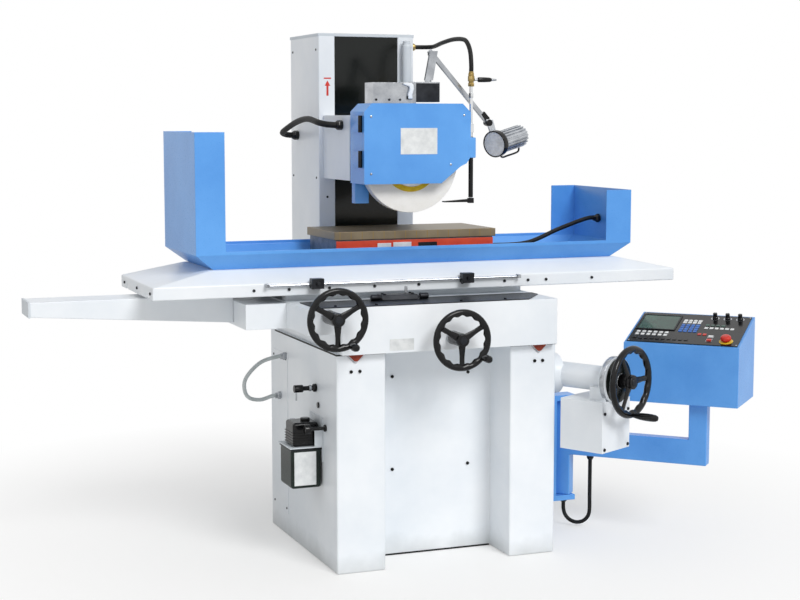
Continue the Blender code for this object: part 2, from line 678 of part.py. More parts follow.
# ---------------------------------------------------------------- handwheels
def handwheel(rim, thickness, hub_back, hub_front):
    """Rim, three spokes and hub, turned about Z, with the rim's middle at height zero."""
    sides = 8
    angles = [2 * pi * index / sides for index in range(sides)]
    ring = turned([(rim + thickness * cos(a), thickness * sin(a)) for a in angles], 32, True)
    hub, reach = thickness * 2.0, rim
    outline = []
    for arm in range(3):
        turn = 2 * pi * arm / 3 - pi / 2
        for out, across in ((hub, -0.9), (reach, -0.6), (reach, 0.6), (hub, 0.9)):
            spread = across * thickness
            outline.append((out * cos(turn) - spread * sin(turn),
                            out * sin(turn) + spread * cos(turn)))
    spider = prism(outline, (-thickness * 0.5, thickness * 0.3), "z")
    boss = rod(hub * 1.15, (hub_back, hub_front), 20)
    return ring, spider, boss


def make_handwheel(name, grip_name, parent, place, facing, sizes, grip_angle, grip_length):
    rim, thickness, hub_back, hub_front = sizes
    ring, spider, boss = handwheel(rim, thickness, hub_back, hub_front)
    wheel = node(name, aimed(ring, facing), "black", parent, place)
    add(wheel, aimed(spider, facing))
    add(wheel, aimed(boss, facing))
    turn = Vector((0, 0, 1)).rotation_difference(Vector(facing)).to_matrix()
    pin = turn @ Vector((rim * cos(grip_angle), rim * sin(grip_angle), thickness + GAP))
    profile = [(0.008, 0), (0.012, 0.3), (0.013, 0.7), (0.010, 1)]
    grip = turned([(r, h * grip_length) for r, h in profile], 12)
    node(grip_name, aimed(grip, facing), "black", parent, Vector(place) + pin)


def make_handwheels(datum):
    front = SADDLE_FRONT - GAP
    for name, grip, place, angle in (
        ("table_handwheel", "table_grip", TABLE_WHEEL, radians(-64)),
        ("cross_handwheel", "cross_grip", CROSS_WHEEL, radians(-40)),
    ):
        sizes = (RIM_RADIUS, RIM_THICKNESS, place[1] - front, 0.014)
        make_handwheel(name, grip, datum, place, (0, -1, 0), sizes, angle, 0.055)


def make_elevating_unit(datum):
    """The bevel gearbox at the base's right side. Its frame's +X is the wheel's axis."""
    frame = empty("elevating_frame", LIFT_WHEEL, LIFT_TURN, datum)
    side = BASE_WIDTH / 2 + GAP
    dial_front, dial_back = -0.050, -0.078
    tube_radius = 0.043
    # The slanting tube stops where its rim would meet the base's side.
    stop = side + 0.002 - tube_radius * sin(LIFT_TURN) - LIFT_WHEEL[0]
    tube_end = stop / cos(LIFT_TURN)
    tube = aimed(rod(tube_radius, (tube_end, dial_back + 0.01), 24), (1, 0, 0))
    body = node("elevating_gearbox", tube, "white", frame)
    add(body, aimed(rod(0.080, (dial_back, dial_front), 32), (1, 0, 0)))
    add(body, box((-0.225, dial_back + 0.022), (-0.085, 0.085), (-0.240, -0.066)))
    add(body, box((-0.125, dial_back + 0.015), (-0.060, 0.060), (-0.10, -0.02)))
    back = LIFT_WHEEL[1] + tube_end * sin(LIFT_TURN)
    flange = rod(0.070, (0, 0.046), 32)
    flange = aimed(flange, (1, 0, 0), (side, back, LIFT_WHEEL[2]))
    to_frame = Matrix.Rotation(-LIFT_TURN, 4, "Z") @ Matrix.Translation(-Vector(LIFT_WHEEL))
    flange.transform(to_frame)
    add(body, flange)
    sizes = (LIFT_RIM_RADIUS, 0.011, dial_front + GAP, 0.016)
    make_handwheel("elevating_handwheel", "elevating_grip", frame, (0, 0, 0), (1, 0, 0),
                   sizes, 0.0, 0.095)


# ---------------------------------------------------------------- console
def make_console(datum):
    side = BASE_WIDTH / 2 + GAP
    post_x, post_y = CONSOLE_POST
    low, high = 0.12, 0.47
    reach = post_x + 0.030
    outline = [
        (side, low - 0.02), (reach, low - 0.02), (reach, low - GAP), (post_x - 0.047, low - GAP),
        (post_x - 0.047, high + GAP), (reach, high + GAP), (reach, high + 0.02),
        (side, high + 0.02),
    ]
    ends = (post_y - 0.035, post_y + 0.035)
    node("console_bracket", prism(outline, ends, "y"), "blue", datum)
    frame = empty("console_frame", (post_x, post_y, 0), CONSOLE_TURN, datum)
    beam_low, beam_high, floor = 0.27, 0.36, 0.49
    near, far = 0.466, 0.531
    outline = [
        (-0.029, low), (0.029, low), (0.029, beam_low), (far, beam_low), (far, floor - GAP),
        (near, floor - GAP), (near, beam_high), (0.029, beam_high), (0.029, high),
        (-0.029, high),
    ]
    node("console_arm", prism(outline, (-0.025, 0.025), "y"), "blue", frame)
    left, right = 0.235, 0.645
    front, back, front_top, back_top = -0.058, 0.209, 0.70, 0.78
    outline = [(front, floor), (back, floor), (back, back_top), (front, front_top)]
    case = node("console_box", prism(outline, (left, right), "x"), "blue", frame)
    make_console_panel(frame, case, (left, right), (front, front_top), (back, back_top))
    tail = low - 0.02 - GAP
    route = [
        (0, 0, tail), (0, 0, 0.080), (0, 0, 0.065), (0.0067, 0, 0.040), (0.025, 0, 0.0217),
        (0.050, 0, 0.015), (0.075, 0, 0.0217), (0.0933, 0, 0.040), (0.100, 0, 0.065),
        (0.100, 0, 0.12), (0.100, 0, 0.20), (0.100, 0, beam_low - GAP),
    ]
    cord("console_cable", route, 0.007, "rubber", frame)


def make_console_panel(frame, case, ends, low, high):
    """The sloping panel with its controls. Its own frame lies on the panel's face."""
    slope = Vector((high[0] - low[0], high[1] - low[1]))
    length = slope.length
    tilt = Vector((1, 0)).angle(slope)
    corner = (ends[0], low[0], low[1] + GAP / cos(tilt))
    face = empty("panel_frame", corner, 0.0, frame)
    face.rotation_euler = (tilt, 0, 0)
    to_frame = Matrix.Translation(corner) @ Matrix.Rotation(tilt, 4, "X")
    width = ends[1] - ends[0]
    thick = 0.003
    plate = box((0.008, width - 0.008), (0.010, length - 0.012), (0, thick))
    panel = node("console_panel", plate, "black", face)

    def pocket(shape, place):
        """A hole through the panel and into the case, for a button's travel."""
        for target, change in ((panel, Matrix.Identity(4)), (case, to_frame)):
            hole = shape()
            hole.transform(change @ Matrix.Translation(place))
            cut(target, hole)

    stem, travel = 0.009, 0.004
    place = (width - 0.055, 0.045, 0)
    pocket(lambda: rod(stem + 2 * GAP, (-travel, 0.010), 16), place)
    profile = [(stem, 0.001), (stem, 0.009), (0.019, 0.010), (0.019, 0.022), (0.014, 0.027)]
    node("estop_button", turned(profile, 16), "red", face, place)
    half_x, half_y = 0.008, 0.006
    for name, colour, y in (("start_button", "white", 0.075), ("stop_button", "red", 0.045)):
        place = (width - 0.115, y, 0)
        reach_x, reach_y = half_x + GAP, half_y + GAP
        pocket(lambda: box((-reach_x, reach_x), (-reach_y, reach_y), (-travel, 0.010)), place)
        key = box((-half_x, half_x), (-half_y, half_y), (0.0005, thick + 0.005))
        node(name, key, colour, face, place)
    top = thick + GAP
    profile = [(0.010, top), (0.009, top + 0.020), (0.007, top + 0.022)]
    for index in range(3):
        place = (width - 0.045 - 0.045 * index, length - 0.040, 0)
        node(f"selector_knob_{index + 1}", turned(profile, 12), "black", face, place)


# ---------------------------------------------------------------- side fittings
def make_side_fittings(datum):
    """The way oil pump, the table speed valve and a hydraulic hose, on the left side."""
    wall = -BASE_WIDTH / 2 - GAP
    shelf = 0.400
    plate = [(wall, shelf - 0.05), (wall, shelf + 0.10), (wall - 0.003, shelf + 0.10),
             (wall - 0.003, shelf + 0.004), (wall - 0.115, shelf + 0.004), (wall - 0.115, shelf),
             (wall - 0.003, shelf), (wall - 0.003, shelf - 0.05)]
    tank = node("oil_tank", prism(plate, (0.138, 0.275), "y"), "hose", datum)
    x = (wall - 0.112, wall - 0.002)
    add(tank, box(x, (0.140, 0.272), (0.262, shelf + 0.001)))
    pump = box((wall - 0.100, wall - 0.012), (0.150, 0.240), (shelf + 0.004 + GAP, 0.485))
    node("oil_pump", pump, "black", datum, bevel=0.006)
    profile = [(0.014, 0), (0.014, 0.010), (0.008, 0.014), (0.008, 0.045), (0.013, 0.048),
               (0.013, 0.078)]
    valve = aimed(turned(profile, 14), (-1, 0, 0))
    speed = node("table_speed_valve", valve, "black", datum, (wall, 0.21, 0.590))
    add(speed, aimed(rod(0.003, (0, 0.040), 8), (0, 0, -1), (-0.070, 0, 0)))
    route = [
        (wall, 0.545, 0.651), (wall - 0.03, 0.545, 0.651), (-0.49, 0.555, 0.630),
        (-0.540, 0.570, 0.570), (-0.530, 0.585, 0.510), (-0.480, 0.600, 0.490),
        (wall - 0.03, 0.610, 0.500), (wall, 0.610, 0.500),
    ]
    cord("hydraulic_hose", route, 0.007, "hose", datum)


def main():
    clear_scene()
    datum = empty("front_datum", (0, -BASE_DEPTH / 2, 0))
    make_base(datum)
    make_saddle(datum)
    make_table(datum)
    make_tray(datum)
    make_chuck(datum)
    make_table_stops(datum)
    make_column(datum)
    make_head(datum)
    make_spindle(datum)
    make_guard(datum)
    make_door(datum)
    make_coolant(datum)
    make_dresser(datum)
    make_handwheels(datum)
    make_elevating_unit(datum)
    make_console(datum)
    make_side_fittings(datum)
    bpy.context.view_layer.update()


main()
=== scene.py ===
# %% [markdown]
# # A surface grinder, piece by piece
# The machine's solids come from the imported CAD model, which fixes every size and joint.
# This notebook dresses them: it rounds the castings' corners, replaces the simple
# handwheels, lamp and wheel with detailed ones, and adds the screws, keys, dials and
# finishes that a real machine shows. Nothing here changes a dimension of the machine.

import json
from math import cos, pi, radians, sin

import bmesh
import bpy
from mathutils import Matrix, Vector

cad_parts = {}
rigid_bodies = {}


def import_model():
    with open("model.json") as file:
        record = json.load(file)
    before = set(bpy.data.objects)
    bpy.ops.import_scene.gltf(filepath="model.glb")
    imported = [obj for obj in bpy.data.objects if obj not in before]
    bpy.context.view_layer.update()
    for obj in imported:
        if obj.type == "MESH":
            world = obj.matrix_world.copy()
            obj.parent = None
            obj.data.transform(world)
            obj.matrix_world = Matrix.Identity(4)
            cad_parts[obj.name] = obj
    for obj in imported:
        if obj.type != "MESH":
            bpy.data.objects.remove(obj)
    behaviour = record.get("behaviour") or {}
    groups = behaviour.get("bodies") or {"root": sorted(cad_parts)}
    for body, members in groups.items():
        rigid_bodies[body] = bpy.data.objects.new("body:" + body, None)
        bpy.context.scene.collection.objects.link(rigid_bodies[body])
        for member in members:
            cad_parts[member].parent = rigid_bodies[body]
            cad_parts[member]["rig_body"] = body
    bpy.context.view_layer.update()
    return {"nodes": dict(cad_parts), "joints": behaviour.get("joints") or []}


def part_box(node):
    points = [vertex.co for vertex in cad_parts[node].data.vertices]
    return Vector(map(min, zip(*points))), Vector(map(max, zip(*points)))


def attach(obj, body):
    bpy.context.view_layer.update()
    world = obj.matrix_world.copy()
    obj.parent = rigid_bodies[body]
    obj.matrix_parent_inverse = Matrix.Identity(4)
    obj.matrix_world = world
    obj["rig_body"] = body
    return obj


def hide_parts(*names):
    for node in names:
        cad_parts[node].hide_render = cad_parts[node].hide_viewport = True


def add_object(name, data):
    """A new object in the scene."""
    made = bpy.data.objects.new(name, data)
    bpy.context.scene.collection.objects.link(made)
    return made


for startup in list(bpy.data.objects):
    bpy.data.objects.remove(startup, do_unlink=True)
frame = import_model()

# %% [markdown]
# ## Camera
# A long lens from the left of the machine, about as high as the wheel head and tilted
# down a little, so that the tray's floor and the console's keys both show.

# %% The camera
CAMERA_PLACE = (-2.069, -5.439, 1.49)
CAMERA_TILT, CAMERA_TURN = radians(83.54), radians(-21.3)
LENS_MM, SENSOR_MM = 72.3, 36.0
camera_data = bpy.data.cameras.new("camera")
camera_data.lens = LENS_MM
camera_data.sensor_width = SENSOR_MM
camera_data.clip_end = 60.0
camera = add_object("camera", camera_data)
camera.location = CAMERA_PLACE
camera.rotation_euler = (CAMERA_TILT, 0.0, CAMERA_TURN)
bpy.context.scene.camera = camera
print("camera", camera_data.lens, "mm, from", CAMERA_PLACE)

# %% [markdown]
# ## Tools for making finishes
# Every finish starts from the real material. Colours are written as the hex values that
# a paint chart gives, so one function turns them to the linear values that light needs.
# One more function adds a node with its settings and links.

# %% Colour and node helpers
MM = 0.001


def linear(code):
    """An sRGB hex colour as linear red, green, blue and alpha."""
    parts = [int(code[start:start + 2], 16) / 255 for start in (1, 3, 5)]
    toe, slope = 0.04045, 12.92
    return (*[c / slope if c <= toe else ((c + 0.055) / 1.055) ** 2.4 for c in parts], 1.0)


def add_node(tree, kind, links=None, **settings):
    """Adds a node. links gives each input a value, or the output that feeds it."""
    made = tree.nodes.new(kind)
    for name, value in settings.items():
        setattr(made, name, value)
    for socket, value in (links or {}).items():
        if isinstance(value, bpy.types.NodeSocket):
            tree.links.new(value, made.inputs[socket])
        else:
            made.inputs[socket].default_value = value
    return made


def start_finish(name, metallic=0.0):
    """A new material, with its tree, its shader and the piece's own coordinates."""
    made = bpy.data.materials.new(name)
    made.use_nodes = True
    tree = made.node_tree
    shader = tree.nodes["Principled BSDF"]
    shader.inputs["Metallic"].default_value = metallic
    where = add_node(tree, "ShaderNodeTexCoord").outputs["Object"]
    return made, tree, shader, where


def blended(tree, amount, dark, light):
    """A colour between two hex colours, by an amount from a pattern."""
    mix = add_node(tree, "ShaderNodeMix", data_type="RGBA")
    sockets = [s for s in mix.inputs if s.enabled]
    tree.links.new(amount, sockets[0])
    for socket, value in zip(sockets[1:], (dark, light)):
        if isinstance(value, bpy.types.NodeSocket):
            tree.links.new(value, socket)
        else:
            socket.default_value = linear(value)
    return next(s for s in mix.outputs if s.enabled)


# %% A finish with uneven colour and grain
def dress(tree, shader, colour, height, strength, distance):
    """Gives a finish its colour, and the pattern that raises its surface."""
    tree.links.new(colour, shader.inputs["Base Color"])
    bump = add_node(tree, "ShaderNodeBump", {"Height": height, "Strength": strength,
                                             "Distance": distance})
    tree.links.new(bump.outputs[0], shader.inputs["Normal"])


def surface(name, shades, patch, grain, relief, roughness, metallic=0.0, stretch=(1, 1, 1),
            shine=0.5):
    """A finish with uneven colour in patches, and a fine grain that roughens and raises it.

    patch, grain and relief are in metres; stretch above 1 squeezes the grain that way.
    Noise mostly lies between 0.3 and 0.7, so that part of it is spread over the range.
    """
    made, tree, shader, where = start_finish(name, metallic)
    shader.inputs["Specular IOR Level"].default_value = shine
    wide = add_node(tree, "ShaderNodeTexNoise", {"Vector": where, "Scale": 1 / patch,
                                                 "Detail": 5.0, "Roughness": 0.6})
    spread = add_node(tree, "ShaderNodeMapRange", {
        "Value": wide.outputs[0], "From Min": 0.32, "From Max": 0.68})
    colour = blended(tree, spread.outputs[0], *shades)
    placed = add_node(tree, "ShaderNodeMapping", {"Vector": where, "Scale": stretch})
    fine = add_node(tree, "ShaderNodeTexNoise", {"Vector": placed.outputs[0],
                                                 "Scale": 1 / grain, "Detail": 3.0})
    gloss = add_node(tree, "ShaderNodeMapRange", {
        "Value": fine.outputs[0], "From Min": 0.3, "From Max": 0.7,
        "To Min": roughness[0], "To Max": roughness[1]})
    tree.links.new(gloss.outputs[0], shader.inputs["Roughness"])
    dress(tree, shader, colour, fine.outputs[0], 0.6, relief)
    return made


# %% [markdown]
# ## Paints, metals and mouldings
# Castings carry a thick sprayed enamel: a faint orange peel about 3 mm across, and hardly
# any texture in the gloss. Turned and ground steel shows fine streaks along the cut.
# Mouldings, lacquer and rubber are nearly black and reflect little, so their specular
# level is low. Each grain is a little coarser than life, because the real one is too
# fine to show.

# %% Enamels and lacquer
ORANGE_PEEL = 3 * MM
white_enamel = surface("white_machine_enamel", ("#DFE5EB", "#F0F3F6"), 0.45, ORANGE_PEEL,
                       0.06 * MM, (0.28, 0.40))
grey_enamel = surface("pale_grey_enamel", ("#C4CCD3", "#D5DBE0"), 0.30, ORANGE_PEEL,
                      0.05 * MM, (0.32, 0.45))
blue_enamel = surface("sky_blue_enamel", ("#4A90DC", "#64A8EE"), 0.40, ORANGE_PEEL,
                      0.06 * MM, (0.26, 0.38))
orange_enamel = surface("orange_red_enamel", ("#C8391E", "#E2502C"), 0.10, 2 * MM,
                        0.05 * MM, (0.30, 0.45))
cover_lacquer = surface("black_cover_lacquer", ("#050706", "#0D1310"), 0.25, 4 * MM,
                        0.04 * MM, (0.10, 0.22), shine=0.35)

# %% Mouldings, rubber and hose
black_moulding = surface("black_phenolic_moulding", ("#050506", "#0E0E10"), 0.05, 1.2 * MM,
                         0.03 * MM, (0.12, 0.24), shine=0.32)
black_rubber = surface("black_nitrile_rubber", ("#0B0B0B", "#181818"), 0.04, 1.0 * MM,
                       0.05 * MM, (0.45, 0.65), shine=0.25)
pale_hose = surface("pale_vinyl_hose", ("#B4BBBB", "#CDD2D2"), 0.04, 1.5 * MM,
                    0.04 * MM, (0.35, 0.50))

# %% Metals
bright_steel = surface("turned_steel", ("#9A9DA2", "#C3C6CA"), 0.06, 0.8 * MM,
                       0.02 * MM, (0.18, 0.34), 1.0, (1, 1, 6))
dark_steel = surface("blackened_steel", ("#1C1D20", "#34363A"), 0.05, 1.0 * MM,
                     0.03 * MM, (0.30, 0.48), 0.8)
machined_iron = surface("machined_cast_iron", ("#55585C", "#7B7E82"), 0.04, 1.5 * MM,
                        0.08 * MM, (0.38, 0.58), 0.9)
chrome = surface("hard_chrome", ("#D6D8DA", "#E8E9EA"), 0.05, 2 * MM, 0.01 * MM,
                 (0.05, 0.12), 1.0)
brass = surface("handled_brass", ("#8C7440", "#C4AC74"), 0.02, 1.0 * MM, 0.03 * MM,
                (0.22, 0.42), 1.0)

# %% Buttons, keys and small parts
red_moulding = surface("red_push_button", ("#B81E12", "#DD3320"), 0.03, 1.0 * MM,
                       0.02 * MM, (0.18, 0.30))
yellow_collar = surface("yellow_moulding", ("#D9B21A", "#EBCB3A"), 0.03, 1.0 * MM,
                        0.02 * MM, (0.30, 0.42))
white_key = surface("white_key_cap", ("#DADCDC", "#EEF0F0"), 0.02, 0.8 * MM, 0.02 * MM,
                    (0.35, 0.50))
blue_key = surface("blue_key_cap", ("#2E62B4", "#3F79C9"), 0.02, 0.8 * MM, 0.02 * MM,
                   (0.35, 0.50))
tank_enamel = surface("dark_green_enamel", ("#06110D", "#13231C"), 0.06, 2 * MM,
                      0.05 * MM, (0.20, 0.36), shine=0.35)
felt_wiper = surface("oiled_red_felt", ("#6E2418", "#98402B"), 0.01, 0.8 * MM, 0.20 * MM,
                     (0.75, 0.95))
paper_blotter = surface("yellow_paper_blotter", ("#D2AE16", "#EACB33"), 0.02, 1.0 * MM,
                        0.04 * MM, (0.70, 0.88))
lamp_alloy = surface("satin_lamp_alloy", ("#A9ADB2", "#D0D3D7"), 0.05, 0.8 * MM,
                     0.02 * MM, (0.26, 0.42), 1.0)
bare_plate = surface("blank_aluminium_plate", ("#CFD2D3", "#E6E8E8"), 0.03, 0.8 * MM,
                     0.02 * MM, (0.35, 0.50), 0.35)
mark_red = surface("red_mark", ("#C32A20", "#D8392C"), 0.02, 1.0 * MM, 0.01 * MM,
                   (0.40, 0.55))
print("plain finishes", len(bpy.data.materials))

# %% [markdown]
# ## The finishes that need a pattern of their own
# - A vitrified wheel is white corundum grit, with pores between the grains.
# - The chuck's top is ground along its length, with a brass line between the poles.
# - The base is the same enamel as the castings, darker in a ragged band just above the floor.
# - The console's window is a dark green tinted plastic.
# - The lamp's reflector is a pale, rough colour with no metal in it, a painted reflection that
#   keeps its hollow bright.

# %% Grinding wheel's grit
GRIT = 1.6 * MM


def wheel_finish():
    """Coarse cells for the grains, under a finer pale dust, with pores pressed in."""
    made, tree, shader, where = start_finish("vitrified_white_corundum")
    grain = add_node(tree, "ShaderNodeTexVoronoi", {"Vector": where, "Scale": 1 / GRIT})
    dust = add_node(tree, "ShaderNodeTexNoise", {"Vector": where, "Scale": 25.0, "Detail": 6.0})
    grains = blended(tree, grain.outputs["Distance"], "#F6F5F2", "#E0DDD5")
    colour = blended(tree, dust.outputs[0], grains, "#FAF9F6")
    dress(tree, shader, colour, grain.outputs["Distance"], 0.9, 0.3 * MM)
    shader.inputs["Roughness"].default_value = 0.92
    return made


# %% Chuck's ground top
POLE_PITCH = 20 * MM
POLE_LINE = 2.4 * MM


def chuck_finish():
    """Streaked steel, crossed by a thin brass line at every pole."""
    made, tree, shader, where = start_finish("ground_chuck_face", 0.9)
    across = add_node(tree, "ShaderNodeSeparateXYZ", {"Vector": where})
    turn = add_node(tree, "ShaderNodeMath", {0: across.outputs["X"], 1: POLE_PITCH},
                    operation="PINGPONG")
    line = add_node(tree, "ShaderNodeMath", {0: turn.outputs[0], 1: POLE_LINE / 2},
                    operation="LESS_THAN")
    placed = add_node(tree, "ShaderNodeMapping", {"Vector": where, "Scale": (1, 40, 1)})
    streak = add_node(tree, "ShaderNodeTexNoise", {"Vector": placed.outputs[0],
                                                   "Scale": 12.0, "Detail": 4.0})
    steel = blended(tree, streak.outputs[0], "#5F5446", "#94876F")
    colour = blended(tree, line.outputs[0], steel, "#8A7448")
    gloss = add_node(tree, "ShaderNodeMapRange", {"Value": streak.outputs[0],
                                                  "To Min": 0.28, "To Max": 0.52})
    tree.links.new(gloss.outputs[0], shader.inputs["Roughness"])
    dress(tree, shader, colour, streak.outputs[0], 0.4, 0.05 * MM)
    return made


# %% Base, window and reflector
DARK_BAND_LOW, DARK_BAND_HEIGHT = 0.03, 0.09


def base_finish():
    """White enamel that darkens towards the floor, in a band with a ragged top."""
    made = white_enamel.copy()
    made.name = "white_enamel_with_floor_grime"
    tree = made.node_tree
    shader = tree.nodes["Principled BSDF"]
    paint = shader.inputs["Base Color"].links[0].from_socket
    where = add_node(tree, "ShaderNodeTexCoord").outputs["Object"]
    height = add_node(tree, "ShaderNodeSeparateXYZ", {"Vector": where})
    band_edge_noise = add_node(tree, "ShaderNodeTexNoise", {"Vector": where, "Scale": 9.0, "Detail": 6.0})
    ragged = add_node(tree, "ShaderNodeMath", {
        0: band_edge_noise.outputs[0], 1: 0.10, 2: height.outputs["Z"]}, operation="MULTIPLY_ADD")
    band = add_node(tree, "ShaderNodeMapRange", {
        "Value": ragged.outputs[0], "From Min": DARK_BAND_LOW,
        "From Max": DARK_BAND_HEIGHT + DARK_BAND_LOW,
        "To Min": 0.55, "To Max": 0.0})
    colour = blended(tree, band.outputs[0], paint, "#A9ABA8")
    tree.links.new(colour, shader.inputs["Base Color"])
    return made


wheel_grit = wheel_finish()
chuck_face = chuck_finish()
base_enamel = base_finish()
window = surface("green_tinted_window", ("#16382F", "#2B5A4C"), 0.06, 3 * MM, 0.01 * MM,
                 (0.08, 0.16))
# The reflector's pale non-metal colour is painted reflection, and it lifts the shade inside the
# hollow.
painted_reflector_white = surface("lamp_reflector_painted_white", ("#D6D7D8", "#FAFAFA"), 0.02, 1.5 * MM,
                      0.05 * MM, (0.30, 0.45))
print("all finishes", len(bpy.data.materials))

# %% [markdown]
# ## Tools for making pieces
# Small functions add a box, a prism, or a turned shape to a mesh, straight in the
# machine's own frame. Most turned shapes are plain discs, rods and sleeves, so they have
# short functions of their own. `piece` then gives the mesh its name, finish and rounded
# edges, and hangs it on the body that it moves with.

# %% Shape helpers
AXIS = 0.0001                # a solid turned shape starts this close to its axis
SHARP = radians(32)          # an edge that turns more than this stays sharp


def add_rings(mesh, rings, close=False, cap=True):
    """Walls between successive rings of corners, capped unless the rings close."""
    made = [[mesh.verts.new(point) for point in ring] for ring in rings]
    pairs = list(zip(made, made[1:])) + ([(made[-1], made[0])] if close else [])
    for low, high in pairs:
        for corner in range(len(low)):
            after = (corner + 1) % len(low)
            mesh.faces.new((low[corner], low[after], high[after], high[corner]))
    if cap and not close:
        mesh.faces.new(made[0])
        mesh.faces.new(made[-1])


def add_box(mesh, low, high, place=Matrix.Identity(4)):
    corners = [(low[0], low[1]), (high[0], low[1]), (high[0], high[1]), (low[0], high[1])]
    add_rings(mesh, [[place @ Vector((x, y, z)) for x, y in corners]
                     for z in (low[2], high[2])])


def add_frame(mesh, outer, inner, low_z, high_z, place):
    """A frame of four boxes; outer and inner are its left, near, right and far edges."""
    left, near, right, far = outer
    hole_left, hole_near, hole_right, hole_far = inner
    for low, high in (((left, near), (right, hole_near)), ((left, hole_far), (right, far)),
                      ((left, hole_near), (hole_left, hole_far)),
                      ((hole_right, hole_near), (right, hole_far))):
        add_box(mesh, (*low, low_z), (*high, high_z), place)


def add_prism(mesh, outline, ends, place=Matrix.Identity(4)):
    """An outline in X and Z, pushed along Y between the two ends."""
    add_rings(mesh, [[place @ Vector((x, y, z)) for x, z in outline] for y in ends])


# %% Turned shapes
def aim(place, facing=(0, 0, 1)):
    """Moves a shape made about Z to a place, with its Z towards facing."""
    turn = Vector((0, 0, 1)).rotation_difference(Vector(facing)).to_matrix().to_4x4()
    return Matrix.Translation(Vector(place)) @ turn


def add_turned(mesh, profile, place, sides=32, ring=False):
    """Turns (radius, height) corners about the Z of a placing matrix."""
    rings = []
    for radius, height in profile:
        angles = [2 * pi * side / sides for side in range(sides)]
        rings.append([place @ Vector((radius * cos(a), radius * sin(a), height))
                      for a in angles])
    add_rings(mesh, rings, close=ring)


def rounded(profile, radius=0.0015, steps=3):
    """The same turned profile with each inner corner taken off in a small arc."""
    made = [profile[0]]
    for before, corner, after in zip(profile, profile[1:], profile[2:]):
        here = Vector(corner)
        back, on = Vector(before) - here, Vector(after) - here
        reach = min(radius, back.length * 0.45, on.length * 0.45)
        start, end = here + back.normalized() * reach, here + on.normalized() * reach
        for step in range(steps + 1):
            t = step / steps
            made.append(tuple((1 - t) ** 2 * start + 2 * t * (1 - t) * here + t * t * end))
    return made + [profile[-1]]


def add_disc(mesh, place, radius, low, high, sides=24, eased=0.0015):
    """A turned disc or rod between two heights, with its corners eased."""
    profile = [(AXIS, low), (radius, low), (radius, high), (AXIS, high)]
    add_turned(mesh, rounded(profile, eased) if eased else profile, place, sides)


def add_sleeve(mesh, place, inner, outer, low, high, sides=24, eased=0.0015):
    """A turned ring or sleeve between two heights, open along its axis."""
    profile = [(inner, low), (outer, low), (outer, high), (inner, high)]
    add_turned(mesh, rounded(profile, eased) if eased else profile, place, sides, ring=True)


def at(place, turn):
    """A placing matrix: a turn, then a move."""
    return Matrix.Translation(Vector(place)) @ turn


UP, DOWN = aim((0, 0, 0)), aim((0, 0, 0), (0, 0, -1))
to_left, to_right = aim((0, 0, 0), (-1, 0, 0)), aim((0, 0, 0), (1, 0, 0))
to_front, to_rear = aim((0, 0, 0), (0, -1, 0)), aim((0, 0, 0), (0, 1, 0))


# %% Pieces
def smooth_data(name, mesh):
    """Mesh data for a shape, smooth everywhere except over its sharp edges."""
    bmesh.ops.recalc_face_normals(mesh, faces=mesh.faces[:])
    data = bpy.data.meshes.new(name)
    mesh.to_mesh(data)
    mesh.free()
    data.shade_smooth()
    data.set_sharp_from_angle(angle=SHARP)
    return data


def piece(name, mesh, finish, body, bevel=0.0, segments=2, stands_for=()):
    """Makes a mesh a finished piece that rides on a body."""
    made = add_object(name, smooth_data(name, mesh))
    made.data.materials.append(finish)
    if bevel:
        edge = made.modifiers.new("rounded_edges", "BEVEL")
        edge.width = bevel
        edge.segments = segments
        edge.limit_method = "ANGLE"
        edge.angle_limit = SHARP
        edge.harden_normals = True
    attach(made, body)
    if stands_for:
        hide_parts(*stands_for)
    print(name, "on", body)
    return made


def plate(name, low, high, finish, body, bevel=0.0, segments=2, stands_for=()):
    """A piece that is one box: a plate, a strip or a block."""
    mesh = bmesh.new()
    add_box(mesh, low, high)
    return piece(name, mesh, finish, body, bevel, segments, stands_for)


def refined(node, finish, bevel=0.003, segments=2):
    """A copy of a CAD solid with its corners rounded, shown in place of it."""
    source = frame["nodes"][node]
    mesh = bmesh.new()
    mesh.from_mesh(source.data)
    bmesh.ops.remove_doubles(mesh, verts=mesh.verts, dist=1e-5)
    bmesh.ops.dissolve_limit(mesh, angle_limit=radians(1.0), verts=mesh.verts,
                             edges=mesh.edges)
    return piece(node + "_finished", mesh, finish, source["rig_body"],
                 bevel, segments, (node,))


# %% [markdown]
# ## Hoses and cables
# Each hose is a fixed length of something flexible, fixed at both ends. A smooth curve
# through a few points gives its route, with a straight step at each end so that it
# leaves its fitting squarely. The console's cable hangs in a loop under its post.

# %% Hose routes
FRONT = -0.58                # the base's front face; routes are measured back from it
POST = Vector((0.597, -0.257, 0.0))          # the console swings on this post
CONSOLE_PLACE = Matrix.Translation(POST) @ Matrix.Rotation(radians(-45), 4, "Z")
MACHINE_PLACE = Matrix.Translation((0.0, FRONT, 0.0))
FINE_STEPS = 20              # steps between two of a route's own points


def smooth_route(points, spacing):
    """Even points along a Catmull-Rom curve through the route's own points."""
    knots = [Vector(point) for point in points]
    knots = [2 * knots[0] - knots[1], *knots, 2 * knots[-1] - knots[-2]]
    fine = []
    for a, b, c, d in zip(knots, knots[1:], knots[2:], knots[3:]):
        for step in range(FINE_STEPS):
            t = step / FINE_STEPS
            fine.append(0.5 * (2 * b + (c - a) * t + (2 * a - 5 * b + 4 * c - d) * t ** 2
                               + (3 * b - a - 3 * c + d) * t ** 3))
    fine.append(knots[-2])
    length = sum((after - point).length for point, after in zip(fine, fine[1:]))
    count = max(2, round(length / spacing))
    even = [fine[0]]
    walked = 0.0
    for point, after in zip(fine, fine[1:]):
        walked += (after - point).length
        if walked >= length / count * len(even) and len(even) < count:
            even.append(after)
    even.append(fine[-1])
    return even


